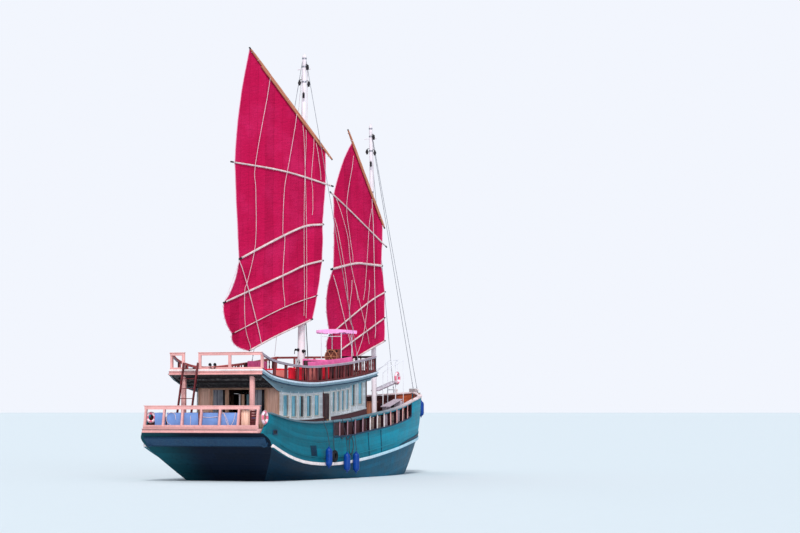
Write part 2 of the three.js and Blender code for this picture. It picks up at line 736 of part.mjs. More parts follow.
// Deck house
const wallCutters = [hullGrown, deckAndAbove];
SIDES.forEach(([name, side]) => {
  add(`cabin_wall_${name}`, sideWall(side, wallCutters), "wall");
  add(`cabin_glass_${name}`, sideGlass(side), "glass");
  add(`side_door_${name}`, sideDoor(side), "dark");
});
const aftHalf = cabinHalf(CABIN_AFT) - CABIN_T - 1;
const foreHalf = cabinHalf(CABIN_FORE) - CABIN_T - 1;
const AFT_DOOR = [-500, 500, 1860, 3920];
add("cabin_wall_aft", crossWall(CABIN_AFT, aftHalf, AFT_WINDOWS, AFT_DOOR, wallCutters), "wood");
add("cabin_wall_fore", crossWall(CABIN_FORE - CABIN_T, foreHalf, FORE_WINDOWS, null, wallCutters), "wall");
const foreGlass = CABIN_FORE - CABIN_T - GAP;
add("cabin_glass_fore", block(foreGlass - GLASS.t, foreGlass, -1950, 1950, 3100, 4200), "glass");

// Aft windows, and the door that slides along inside them on its threshold
const aftGlassX = CABIN_AFT + CABIN_T + GAP;
add("cabin_glass_aft", shape(cut(
  solid(block(aftGlassX, aftGlassX + GLASS.t, -1400, 1400, 2780, 4040)),
  [block(CABIN_AFT, aftGlassX + 100, -560, 560, 2000, 3960)],
)), "glass");
const SLIDE = { x: aftGlassX + GLASS.t + 12, t: 40, y0: 560, wide: 1060, low: 1820, high: 3960 };
add("aft_door_track", shape(cut(
  solid(block(SLIDE.x - 15, SLIDE.x + SLIDE.t + 15, -560, 1680, 1500, SLIDE.low)), [hullGrown],
)), "wood");

function slidingDoor() {
  const { x, t, y0, wide, low, high } = SLIDE;
  const leaf = block(x, x + t, y0, y0 + wide, low + GAP, high);
  const pane = block(x - 10, x + t + 10, y0 + 120, y0 + wide - 120, low + 900, high - 150);
  return shape(cut(solid(leaf), [pane]));
}
add("aft_door", slidingDoor(), "wood");

// Upper deck and its rails
add("upper_deck", upperDeck(0), "deck");
SIDES.forEach(([name, side]) => {
  add(`upper_rail_${name}`, sideRail(side, deckGrown), "wood");
});

// Posts and boarding ladder under the overhang
SIDES.forEach(([name, side]) => {
  const post = block(-9140, -8960, side * 1630 - 90, side * 1630 + 90, PLATFORM_Z + GAP, 5000);
  add(`overhang_post_${name}`, shape(cut(solid(post), [deckAndAbove])), "salmon");
});

const LADDER = {
  foot: [-10180, PLATFORM_Z + GAP], head: [-9375, 5050], y: 1130, half: 335, rungs: 6,
};

function ladder() {
  const { foot, head, y, half, rungs } = LADDER;
  const pieces = [-half, half].map((dy) => beam(
    [foot[0], y + dy, foot[1] - 30], [head[0], y + dy, head[1]], 110, 50,
  ));
  for (let k = 1; k <= rungs; k += 1) {
    const t = k / (rungs + 0.6);
    const x = foot[0] + (head[0] - foot[0]) * t;
    const z = foot[1] + (head[1] - foot[1]) * t;
    pieces.push(block(x - 45, x + 45, y - half, y + half, z - 15, z + 15));
  }
  const floor = block(-12000, 0, -4000, 4000, 0, PLATFORM_Z + GAP);
  return shape(cut(join(pieces), [floor, deckGrown]));
}
add("ladder", ladder(), "salmon");

// Bench along the aft rail, with its cushion
const AFT_BENCH = { x0: -10480, x1: -9980, y0: -2250, y1: 700, seat: 380, back: 680, deep: 70 };

function aftBench() {
  const { x0, x1, y0, y1, seat, back, deep } = AFT_BENCH;
  return fused([
    block(x0, x1, y0, y1, PLATFORM_Z + GAP, PLATFORM_Z + seat),
    block(x0, x0 + deep, y0, y1, PLATFORM_Z + GAP, PLATFORM_Z + back),
  ]);
}

function aftCushion() {
  const { x0, x1, y0, y1, seat, deep } = AFT_BENCH;
  const low = PLATFORM_Z + seat + GAP;
  return block(x0 + deep + 10, x1, y0 + 10, y1 - 10, low, low + 130);
}
add("aft_bench", aftBench(), "wood");
add("aft_cushion", aftCushion(), "blue");

// Lounge on the upper deck: a long bench to starboard and a short one to port, joined by a seat
const LOUNGE = {
  starboard: [-5200, 0], port: [-2500, 550], cross: [-2500, -1900], portBack: -1550,
  in: 1850, out: 2330, z: 4300, seat: 480, back: 900,
};

// A seat with a level top, its foot let into the rising deck
function seatBox(x0, x1, y0, y1, top) {
  const steps = 6;
  return strip(Array.from({ length: steps + 1 }, (_, i) => {
    const x = x0 + (x1 - x0) * i / steps;
    const low = UPPER_DECK.z(x) - 60;
    return { x: [x], ring: [[y1, low], [y1, top], [y0, top], [y0, low]] };
  }));
}

function loungeBench() {
  const { starboard, port, cross, portBack, in: inner, out, z, seat, back } = LOUNGE;
  const top = z + seat;
  return shape(cut(join([
    seatBox(...starboard, -out, -inner, top), seatBox(...port, inner, out, top),
    seatBox(...cross, -out, out, top),
    block(...starboard, -out, 70 - out, z + 400, z + back),
    block(portBack, port[1], out - 70, out, z + 400, z + back),
  ]), [deckGrown]));
}

function loungeCushion(z0, z1, inset) {
  const { starboard, port, cross, in: inner, out } = LOUNGE;
  const edge = out - inset;
  return fused([
    block(starboard[0] + inset, starboard[1] - inset, -edge, -inner, z0, z1),
    block(port[0] + inset, port[1] - inset, inner, edge, z0, z1),
    block(cross[0] + inset, cross[1], -edge, edge, z0, z1),
  ]);
}
add("upper_bench", loungeBench(), "wood");
const cushionZ = LOUNGE.z + LOUNGE.seat + GAP;
add("upper_cushion", loungeCushion(cushionZ, cushionZ + 130, 75), "cushion");

// Masts, sails and stays
Object.entries(SAILS).forEach(([name, sail]) => {
  const frame = mastFrame(sail);
  const inverse = new THREE.Matrix4().makeRotationY(-frame.rotation.y)
    .multiply(new THREE.Matrix4().makeTranslation(-sail.x, 0, 0));
  const footing = (name === "main" ? deckGrown : hullGrown).clone().applyMatrix4(inverse);
  const below = block(-1000, 1000, -900, 900, 0, name === "main" ? 4400 : 1600);
  add(`${name}_mast`, shape(cut(solid(mast(sail, footing)), [below])), "mast", frame);
  const swung = new THREE.Group();
  swung.rotation.z = -THREE.MathUtils.degToRad(sail.swing);
  frame.add(swung);
  const { yard, boom, ...battens } = sail.spars;
  const ends = [
    ...spar(sail, yard, YARD_R, LOOP.snug, GAP), ...spar(sail, boom, BATTEN_R, LOOP.slack, GAP),
  ];
  const poles = Object.values(battens).flatMap((p) => spar(sail, p, BATTEN_R, LOOP.slack));
  add(`${name}_sail`, shape(cut(join([sailCloth(sail), ...poles]), ends)), "sail", swung);
  add(`${name}_yard`, fused(spar(sail, yard, YARD_R, LOOP.snug)), "spar", swung);
  add(`${name}_boom`, fused(spar(sail, boom, BATTEN_R, LOOP.slack)), "spar", swung);
  group.add(frame);
});

// The foot of a stay stands just clear of what it is made fast to. The main shrouds leave the
// masthead high and come down abeam of it, so the yard swings under them to either side.
const STAY_FOOT = 6;
const SHROUD = { x: -100, out: 40, head: 19150, aside: 80 };
SIDES.forEach(([name, side]) => {
  const capFoot = [12050, side * (LEVEL.cap.half(12050) - 20), LEVEL.cap.z(12050) + STAY_FOOT];
  add(`fore_shroud_${name}`, stay(SAILS.fore, 16500, side * 50, capFoot), "wire");
  const { x, out, head, aside } = SHROUD;
  const railFoot = [
    x, side * (UPPER_DECK.half(x) - SIDE_RAIL.inset + out),
    UPPER_DECK.z(x) + UPPER_RAIL_H + STAY_FOOT,
  ];
  add(`main_shroud_${name}`, stay(SAILS.main, head, side * aside, railFoot), "wire");
});
add("fore_stay", stay(SAILS.fore, 16650, 0, [13020, 0, 4120 + STAY_FOOT]), "wire");

// Helm on the upper deck, under its awning
const HELM = { x: 1450, y: -750 };

function helmConsole() {
  const { x, y } = HELM;
  const z = UPPER_DECK.z(x);
  return shape(cut(join([
    block(x - 170, x + 170, y - 330, y + 330, z - 200, z + 980),
    block(x - 40, x + 170, y - 330, y + 330, z + 900, z + 1120),
  ]), [deckGrown]));
}

function helmWheel() {
  const z = UPPER_DECK.z(HELM.x) + 780;
  const x = HELM.x - 170 - GAP;
  const rim = new THREE.TorusGeometry(300, 18, 5, 14).rotateY(Math.PI / 2);
  const pieces = [
    rim.translate(x - 110, HELM.y, z),
    rod([x - 140, HELM.y, z], [x, HELM.y, z], 40, 40, 10),
  ];
  for (let k = 0; k < 3; k += 1) {
    const a = Math.PI * k / 3;
    const dy = Math.cos(a) * 370;
    const dz = Math.sin(a) * 370;
    pieces.push(rod([x - 110, HELM.y - dy, z - dz], [x - 110, HELM.y + dy, z + dz], 13, 13, 6));
  }
  return fused(pieces);
}

// Awning on four legs. Its hoops and its cloth follow the same shallow arch and stand out past
// the legs to either side.
const AWNING = {
  aft: 880, fore: 2100, y0: -1600, y1: -200, legs: [-1400, -400], top: 6680, tube: 20, rise: 45,
  over: 40,
};

function awningArch() {
  const { y0, y1, rise } = AWNING;
  return [0, 0.25, 0.5, 0.75, 1].map((t) => [y0 + (y1 - y0) * t, rise * 4 * t * (1 - t)]);
}

function awningFrame() {
  const { aft, fore, y0, y1, legs, top, tube, rise } = AWNING;
  const pieces = [];
  [y0, y1].forEach((y) => pieces.push(rod([aft, y, top], [fore, y, top], tube, tube, 6)));
  legs.forEach((y) => [aft, fore].forEach((x) => {
    const t = (y - y0) / (y1 - y0);
    const head = top + rise * 4 * t * (1 - t);
    pieces.push(rod([x, y, UPPER_DECK.z(x) - 90], [x, y, head], tube, tube, 6));
  }));
  [aft, (aft + fore) / 2, fore].forEach((x) => {
    const hoop = awningArch().map(([y, up]) => [x, y, top + up]);
    hoop.slice(1).forEach((p, i) => pieces.push(rod(hoop[i], p, tube, tube, 6)));
  });
  return shape(cut(join(pieces), [deckGrown]));
}

function awning() {
  const { aft, fore, y0, y1, top, tube, over } = AWNING;
  const low = top + tube + 3 * GAP;
  const edges = [[y0 - over, 0], ...awningArch(), [y1 + over, 0]];
  return loft(edges.map(([y, up]) => [
    [aft - over, y, low + up], [fore + over, y, low + up],
    [fore + over, y, low + up + 25], [aft - over, y, low + up + 25],
  ]));
}
add("helm_console", helmConsole(), "wood");
add("helm_wheel", helmWheel(), "wood");
add("awning_frame", awningFrame(), "white");
add("awning", awning(), "canopy");

// Foredeck: hatch, windlass and the stowed boarding plank
const HATCH = { aft: 4300, fore: 5500, half: 550, top: 2760 };

function hatchCoaming() {
  const { aft, fore, half, top } = HATCH;
  const outer = block(aft, fore, -half, half, 1800, top);
  const inner = block(aft + 60, fore - 60, -half + 60, half - 60, 1700, top + 10);
  return shape(cut(solid(outer), [inner, hullGrown]));
}

function hatchLid() {
  const { aft, fore, half, top } = HATCH;
  const low = top + 6;
  const pinZ = top + GAP + 22;
  return fused([
    block(aft - 20, fore - 10, -half - 20, half + 20, low, low + 50),
    rod([fore - 22, -half + 100, pinZ], [fore - 22, -half + 300, pinZ], 22, 22, 12),
    rod([fore - 22, half - 300, pinZ], [fore - 22, half - 100, pinZ], 22, 22, 12),
  ]);
}

function windlass() {
  const z = LEVEL.deck.z(10400);
  return shape(cut(join([
    block(10250, 10550, -480, -400, 2300, z + 520),
    block(10250, 10550, 400, 480, 2300, z + 520),
    rod([10400, -620, z + 380], [10400, 620, z + 380], 90, 90, 12),
    block(10330, 10470, -70, 70, 2300, z + 420),
  ]), [hullGrown]));
}

const PLANK = { x0: 8750, x1: 11300, y: 260, half: 210, z0: 4020, rise: 0.18 };

function boardingPlank() {
  const { x0, x1, y, half, z0, rise } = PLANK;
  const zAt = (x) => z0 + (x - x0) * rise;
  const pieces = [plate([
    [x0, z0 - 60], [x0, z0], [x1, zAt(x1)], [x1, zAt(x1) - 60],
  ], y - half, y + half)];
  [9250, 10850].forEach((x) => {
    [-half, half].forEach((dy) => {
      pieces.push(rod([x, y + dy, 2200], [x, y + dy, zAt(x) - 10], 24, 24, 6));
    });
    pieces.push(rod([x, y - half, zAt(x) - 350], [x, y + half, zAt(x) - 350], 20, 20, 6));
  });
  [-half, half].forEach((dy) => {
    const rail = [[9250, 0.02], [9250, 0.75], [10500, 0.95], [11250, 1.1]].map(([x, up]) => [
      x, y + dy, zAt(x) + up * M,
    ]);
    rail.slice(1).forEach((p, i) => {
      pieces.push(rod(rail[i], p, 18, 18, 6));
    });
    pieces.push(rod([10850, y + dy, zAt(10850) - 20], [10850, y + dy, zAt(10850) + 1000], 16, 16, 6));
  });
  return shape(cut(join(pieces), [hullGrown]));
}
add("hatch_coaming", hatchCoaming(), "wood");
add("hatch_lid", hatchLid(), "wood");
add("windlass", windlass(), "dark");
add("boarding_plank", boardingPlank(), "white");

// Fenders on their lines.
// Columns: distance forward, side, middle height, length, radius, all but the side in metres.
const FENDERS = [
  [-4.9, -1, 0.98, 0.9, 0.15], [-2.95, -1, 0.74, 0.86, 0.15], [-1.95, -1, 0.72, 0.92, 0.15],
  [12.3, -1, 3.12, 0.8, 0.14],
];

function fender([x, side, z, long, radius]) {
  const cx = x * M;
  const r = radius * M;
  const hullHalf = Math.max(LEVEL.wale.half(cx) + 95, LEVEL.cap.half(cx) + CAP_OUT);
  const y = side * (hullHalf + r + GAP * 10);
  const half = long * M / 2;
  const outline = [
    [0, -half], [r * 0.35, -half], [r * 0.8, -half + r * 0.45], [r, -half + r],
    [r, half - r], [r * 0.8, half - r * 0.45], [r * 0.35, half], [0, half],
  ].map(([a, b]) => new THREE.Vector2(a, b));
  const capsule = new THREE.LatheGeometry(outline, 8).rotateX(Math.PI / 2).translate(cx, y, z * M);
  const top = LEVEL.cap.z(cx);
  const line = rod([cx, y, z * M + half - 20], [cx, y, top - 24], 12, 12, 6);
  const hook = rod([cx, y, top - 32], [cx, side * LEVEL.cap.half(cx), top - 32], 12, 12, 6);
  return shape(cut(join([capsule, line, hook]), [capRail(side, GAP)]));
}
FENDERS.forEach((row, k) => add(`fender_${k + 1}`, fender(row), "fender"));

// Stern gear below the water
add("rudder", fused([
  rod([RUDDER_X, 0, KEEL_Z + 110 + GAP], [RUDDER_X, 0, rudderTop - GAP], 45, 45, 12),
  block(RUDDER_X - 750, RUDDER_X + 180, -30, 30, KEEL_Z + 180, rudderTop - 60),
]), "bottom");

const SHAFT_Z = -1260;

function propeller() {
  const hubX = -6000;
  const pieces = [
    rod([hubX - 110, 0, SHAFT_Z], [hubX + 60, 0, SHAFT_Z], 45, 75, 12),
    rod([hubX, 0, SHAFT_Z], [-5550 - GAP, 0, SHAFT_Z], 32, 32, 12),
  ];
  for (let k = 0; k < 4; k += 1) {
    const blade = new THREE.BoxGeometry(26, 200, 270).rotateZ(THREE.MathUtils.degToRad(38));
    blade.translate(0, 0, 195).rotateX(Math.PI / 2 * k).translate(hubX - 20, 0, SHAFT_Z);
    pieces.push(blade);
  }
  return fused(pieces);
}
add("propeller", propeller(), "bronze");

export default group;
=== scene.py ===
"""Finish for a two-masted wooden junk: planking, paint, sails, rigging and deck gear, in metres."""

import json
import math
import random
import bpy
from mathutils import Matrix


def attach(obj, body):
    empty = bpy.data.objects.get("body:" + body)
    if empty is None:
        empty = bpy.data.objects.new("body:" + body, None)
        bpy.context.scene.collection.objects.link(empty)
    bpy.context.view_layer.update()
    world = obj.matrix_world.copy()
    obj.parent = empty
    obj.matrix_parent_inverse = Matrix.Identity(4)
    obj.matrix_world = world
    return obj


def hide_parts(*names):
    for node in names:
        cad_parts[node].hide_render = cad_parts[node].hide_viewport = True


bl_info = {
    "name": "Wooden junk",
    "version": (1, 0, 0),
    "blender": (4, 5, 0),
    "location": "View3D > Sidebar > Junk",
    "description": "Planked, painted and rigged finish round a junk's packed model",
    "category": "Object",
}

import bpy
from bpy.props import FloatProperty, FloatVectorProperty, PointerProperty
from mathutils import Matrix, Vector, noise
from mathutils.bvhtree import BVHTree

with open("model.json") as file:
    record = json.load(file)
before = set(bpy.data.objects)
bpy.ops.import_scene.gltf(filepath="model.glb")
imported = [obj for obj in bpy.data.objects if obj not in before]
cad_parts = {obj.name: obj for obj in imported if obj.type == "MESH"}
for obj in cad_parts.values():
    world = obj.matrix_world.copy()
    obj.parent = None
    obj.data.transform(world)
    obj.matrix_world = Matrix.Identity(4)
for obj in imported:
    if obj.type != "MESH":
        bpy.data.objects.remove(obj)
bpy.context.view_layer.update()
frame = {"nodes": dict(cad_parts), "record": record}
BODY_OF = {
    node: body
    for body, nodes in frame["record"]["behaviour"]["bodies"].items()
    for node in nodes
}
SIDES = (("starboard", -1), ("port", 1))
X, Y, Z = Vector((1, 0, 0)), Vector((0, 1, 0)), Vector((0, 0, 1))
SEED = 11
# The turn that stands a board's grain up
UPRIGHT = (0, math.pi / 2, 0)


def tint(red, green, blue):
    """A colour given in display values from 0 to 255, as linear light."""
    def linear(value):
        value /= 255
        return value / 12.92 if value <= 0.04045 else ((value + 0.055) / 1.055) ** 2.4
    return (linear(red), linear(green), linear(blue))


# Selection, modifiers and finishing

def only(*objects):
    """Selects these objects and nothing else, the first one active."""
    if bpy.context.mode != "OBJECT":
        bpy.ops.object.mode_set(mode="OBJECT")
    bpy.ops.object.select_all(action="DESELECT")
    for obj in objects:
        obj.select_set(True)
    bpy.context.view_layer.objects.active = objects[0]


def added(name):
    """The primitive that was just added, named, with its place in its mesh."""
    obj = bpy.context.object
    obj.name = name
    obj.data.name = name
    only(obj)
    bpy.ops.object.transform_apply(location=True, rotation=True, scale=True)
    return obj


def modified(obj, kind, **settings):
    modifier = obj.modifiers.new(kind.title(), kind)
    for key, value in settings.items():
        setattr(modifier, key, value)
    only(obj)
    bpy.ops.object.modifier_apply(modifier=modifier.name)
    return obj


def rounded(obj, width, segments=2):
    return modified(obj, "BEVEL", width=width, segments=segments, limit_method="ANGLE",
        angle_limit=math.radians(30), miter_outer="MITER_ARC")


def smooth(obj, degrees=35):
    only(obj)
    bpy.ops.object.shade_smooth_by_angle(angle=math.radians(degrees))
    return obj


def cleaned(obj, merge=0.0002, fill=False, recalculate=True):
    """Merges doubles, closes open ends where asked, and turns the faces outwards."""
    only(obj)
    bpy.ops.object.mode_set(mode="EDIT")
    bpy.ops.mesh.select_all(action="SELECT")
    bpy.ops.mesh.remove_doubles(threshold=merge)
    if fill:
        bpy.ops.mesh.fill_holes(sides=0)
    if recalculate:
        bpy.ops.mesh.select_all(action="SELECT")
        bpy.ops.mesh.normals_make_consistent(inside=False)
    bpy.ops.object.mode_set(mode="OBJECT")
    return obj


def joined(name, objects):
    only(*objects)
    if len(objects) > 1:
        bpy.ops.object.join()
    obj = bpy.context.object
    obj.name = name
    obj.data.name = name
    return obj


def coated(obj, *materials):
    obj.data.materials.clear()
    for one in materials:
        obj.data.materials.append(MATERIALS[one])
    return obj


def faced(obj, choose):
    """Gives each face the material slot that choose returns for its centre and normal."""
    for polygon in obj.data.polygons:
        polygon.material_index = choose(polygon.center, polygon.normal)
    return obj


def fitted(obj, body="boat", replaces=()):
    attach(obj, body)
    if replaces:
        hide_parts(*replaces)
    return obj


def put(obj, one, body="boat", replaces=()):
    """A piece of one material, on its body, in its slot."""
    return fitted(coated(obj, one), body, replaces)


def mapped(obj, place):
    """Lays the piece's own UV map, in metres, from each corner's place and its face's normal."""
    mesh = obj.data
    layer = mesh.uv_layers.get("UVMap") or mesh.uv_layers.new(name="UVMap")
    for polygon in mesh.polygons:
        for index in polygon.loop_indices:
            corner = mesh.vertices[mesh.loops[index].vertex_index].co
            layer.data[index].uv = place(corner, polygon.normal)
    return obj


# Forms

def block(name, low, high, bevel=0.0, segments=2):
    centre = [(a + b) / 2 for a, b in zip(low, high)]
    size = [abs(b - a) for a, b in zip(low, high)]
    bpy.ops.object.select_all(action="DESELECT")
    bpy.ops.mesh.primitive_cube_add(size=1, location=centre, scale=size)
    obj = added(name)
    if bevel:
        rounded(obj, bevel, segments)
        smooth(obj)
    return obj


def surface(name, across, along, place):
    """A grid shaped by place(u, v), both from 0 to 1."""
    bpy.ops.object.select_all(action="DESELECT")
    bpy.ops.mesh.primitive_grid_add(x_subdivisions=across, y_subdivisions=along, size=2)
    obj = added(name)
    for vertex in obj.data.vertices:
        vertex.co = place((vertex.co.x + 1) / 2, (vertex.co.y + 1) / 2)
    return obj


def sweep(name, path, section, up=Z, taper=None):
    """A closed section carried along a path and capped. Section: offsets aside and up."""
    points = [Vector(p) for p in path]
    last, around = len(points) - 1, len(section)
    frames, run = [], 0.0
    for i, point in enumerate(points):
        ahead = (points[min(i + 1, last)] - points[max(i - 1, 0)]).normalized()
        aside = ahead.cross(up).normalized()
        frames.append((point, aside, aside.cross(ahead)))
        run += (points[i] - points[i - 1]).length if i else 0

    def place(u, v):
        point, aside, top = frames[round(u * last)]
        a, b = section[round(v * around) % around]
        scale = taper(u) if taper else 1
        return point + (aside * a + top * b) * scale

    obj = surface(name, last, around, place)
    for corner in obj.data.uv_layers[0].data:
        corner.uv.x *= run
    cleaned(obj, merge=0.00005, fill=True)
    return smooth(obj, 40)


def circle(radius, sides=10):
    return [(radius * math.cos(math.tau * k / sides), radius * math.sin(math.tau * k / sides))
        for k in range(sides)]


def slab(wide, high, corner=0.012):
    """A rectangular section with clipped corners, centred."""
    a, b, c = wide / 2, high / 2, corner
    return [(a, b - c), (a - c, b), (c - a, b), (-a, b - c), (-a, c - b), (c - a, -b), (a - c, -b),
        (a, c - b)]


def eased(points, steps=6):
    """A smooth line through points."""
    p = [Vector(q) for q in points]
    p = [2 * p[0] - p[1], *p, 2 * p[-1] - p[-2]]
    line = []
    for a, b, c, d in zip(p, p[1:], p[2:], p[3:]):
        for k in range(steps):
            t = k / steps
            line.append(0.5 * (2 * b + (c - a) * t + (2 * a - 5 * b + 4 * c - d) * t * t
                + (3 * b - a - 3 * c + d) * t ** 3))
    return [*line, p[-2]]


def sag(start, end, drop):
    """A line between two points that hangs a little."""
    a, b = Vector(start), Vector(end)
    return [a.lerp(b, k / 12) - Z * drop * 4 * (k / 12) * (1 - k / 12) for k in range(13)]


def cord_line(name, path, radius, sides=8):
    up = X if abs((Vector(path[-1]) - Vector(path[0])).normalized().z) > 0.7 else Z
    return sweep(name, path, circle(radius, sides), up=up)


def post(name, low, high, bottom, top, sides=24):
    """An upright or leaning round pole."""
    a, b = Vector(low), Vector(high)
    up = X if abs((b - a).normalized().x) < 0.7 else Z
    return sweep(name, [a, a.lerp(b, 0.5), b], circle(1, sides), up=up,
        taper=lambda t: bottom + (top - bottom) * t)


def turned(name, profile, centre, axis=Z, sides=20):
    """A turned form. Profile: radius and distance along the axis, from end to end."""
    turn = Z.rotation_difference(Vector(axis)).to_matrix().to_4x4()

    def place(u, v):
        radius, along = profile[round(u * (len(profile) - 1))]
        angle = math.tau * v
        return Vector((radius * math.cos(angle), radius * math.sin(angle), along))

    obj = surface(name, len(profile) - 1, sides, place)
    cleaned(obj, merge=0.00005, fill=True)
    obj.data.transform(Matrix.Translation(Vector(centre)) @ turn)
    return smooth(obj, 40)


def ring(name, centre, axis, radius, thick, around=36, sides=10):
    bpy.ops.object.select_all(action="DESELECT")
    turn = Z.rotation_difference(Vector(axis)).to_euler()
    bpy.ops.mesh.primitive_torus_add(location=centre, rotation=turn, major_radius=radius,
        minor_radius=thick, major_segments=around, minor_segments=sides)
    return smooth(added(name), 60)


def dressed(node, bevel=0.006, segments=2):
    """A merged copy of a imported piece, with its edges eased, that stands for it."""
    piece = bpy.data.objects.new(f"{node}_finish", frame["nodes"][node].data.copy())
    bpy.context.collection.objects.link(piece)
    piece.data.materials.clear()
    only(piece)
    bpy.ops.mesh.customdata_custom_splitnormals_clear()
    bpy.ops.object.mode_set(mode="EDIT")
    bpy.ops.mesh.select_all(action="SELECT")
    bpy.ops.mesh.remove_doubles(threshold=0.0002)
    bpy.ops.mesh.dissolve_limited(angle_limit=math.radians(0.3))
    bpy.ops.mesh.vert_connect_concave()
    bpy.ops.object.mode_set(mode="OBJECT")
    if bevel:
        rounded(piece, bevel, segments)
    smooth(piece)
    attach(piece, BODY_OF[node])
    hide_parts(node)
    return piece


# Lines of the hull, as in the solids. Columns: distance forward, height, half breadth, metres.
LINES = {
    "floor": [
        (-7.8, -0.45, 0.3), (-6, -0.85, 0.15), (-3, -1.1, 0.15), (1, -1.2, 0.15),
        (5, -1.18, 0.15), (8, -1.06, 0.12), (9.8, -0.95, 0.06),
    ],
    "turn": [
        (-7.88, -0.38, 0.85), (-6, -0.65, 1.35), (-3, -0.9, 1.85), (1, -0.98, 1.95),
        (4, -0.95, 1.65), (6.5, -0.9, 1.05), (8.5, -0.8, 0.5), (10.15, -0.7, 0.06),
    ],
    "bilge": [
        (-8.02, -0.25, 1.4), (-6, -0.4, 2.1), (-3, -0.5, 2.6), (1, -0.5, 2.66),
        (4, -0.48, 2.35), (6.5, -0.45, 1.7), (8.5, -0.42, 0.98), (10.6, -0.4, 0.06),
    ],
    "water": [
        (-8.3, 0, 1.85), (-7, 0, 2.3), (-5, 0, 2.68), (-2, 0, 2.93), (1, 0, 2.92),
        (4, 0, 2.65), (6.5, 0, 2.1), (8.5, 0, 1.4), (10, 0, 0.7), (11.1, 0, 0.06),
    ],
    "wale": [
        (-10, 1.53, 2.98), (-9.2, 1.27, 3.01), (-8.3, 1.02, 3.05), (-7, 0.8, 3.08),
        (-5, 0.68, 3.11), (-3, 0.7, 3.12), (-0.2, 0.88, 3.12), (1.5, 1.04, 3.07),
        (3.8, 1.28, 2.95), (5.9, 1.48, 2.62), (8, 1.62, 2.12), (9.6, 1.7, 1.58),
        (11, 1.77, 0.96), (12, 1.82, 0.42), (12.5, 1.84, 0.1),
    ],
    "deck": [
        (-10.59, 2.06, 2.86), (-9, 1.95, 2.93), (-7, 1.74, 3), (-5, 1.62, 3.05),
        (-2, 1.72, 3.08), (1.3, 1.98, 3.05), (4, 2.2, 2.93), (6.5, 2.5, 2.6),
        (8.5, 2.72, 2.13), (10, 2.85, 1.62), (11.2, 2.95, 1.06), (12.2, 3.03, 0.5),
        (12.75, 3.08, 0.13),
    ],
    "cap": [
        (-9.85, 2.94, 2.88), (-8.4, 2.7, 2.96), (-7.2, 2.58, 3), (-6.2, 2.54, 3.03),
        (-5, 2.54, 3.06), (-3, 2.62, 3.09), (-1.6, 2.68, 3.09), (-0.2, 2.81, 3.08),
        (1.4, 2.94, 3.05), (3, 3.07, 2.98), (4.85, 3.28, 2.86), (7, 3.55, 2.5),
        (9, 3.7, 2), (10.3, 3.78, 1.53), (11.3, 3.84, 1.06), (12.2, 3.9, 0.58),
        (12.95, 3.95, 0.14),
    ],
    "upper": [
        (-9.3, 4.78, 2.22), (-8.57, 4.52, 2.32), (-7.41, 4.35, 2.46), (-6.18, 4.26, 2.6),
        (-4.71, 4.25, 2.66), (-3.19, 4.33, 2.7), (-1.1, 4.47, 2.72), (0.6, 4.63, 2.7),
        (2.3, 4.82, 2.6),
    ],
}
HOUSE = [(-7, 2), (-5.6, 2.13), (-4, 2.22), (-1, 2.27), (1.7, 2.28)]


def line_value(name, column, x):
    """The height (column 1) or half breadth (column 2) of a line at x."""
    table = LINES[name]
    last = len(table) - 1
    i = 0
    while i < last - 1 and x > table[i + 1][0]:
        i += 1

    def slope(k):
        a, b = table[max(k - 1, 0)], table[min(k + 1, last)]
        return (b[column] - a[column]) / (b[0] - a[0])

    h = table[i + 1][0] - table[i][0]
    t = min(max((x - table[i][0]) / h, 0), 1)
    y0, y1 = table[i][column], table[i + 1][column]
    return (y0 * (2 * t ** 3 - 3 * t * t + 1) + y1 * (3 * t * t - 2 * t ** 3) + slope(i) * h
        * (t ** 3 - 2 * t * t + t) + slope(i + 1) * h * (t ** 3 - t * t))


def level(name, x):
    return line_value(name, 1, x)


def breadth(name, x):
    return line_value(name, 2, x)


def house_half(x):
    i = 0
    while i < len(HOUSE) - 2 and x > HOUSE[i + 1][0]:
        i += 1
    (x0, y0), (x1, y1) = HOUSE[i], HOUSE[i + 1]
    return y0 + (y1 - y0) * (x - x0) / (x1 - x0)


def spread(start, end, count):
    return [start + (end - start) * k / (count - 1) for k in range(count)]


# Finishes

MATERIALS = {}
GROUPS = {}


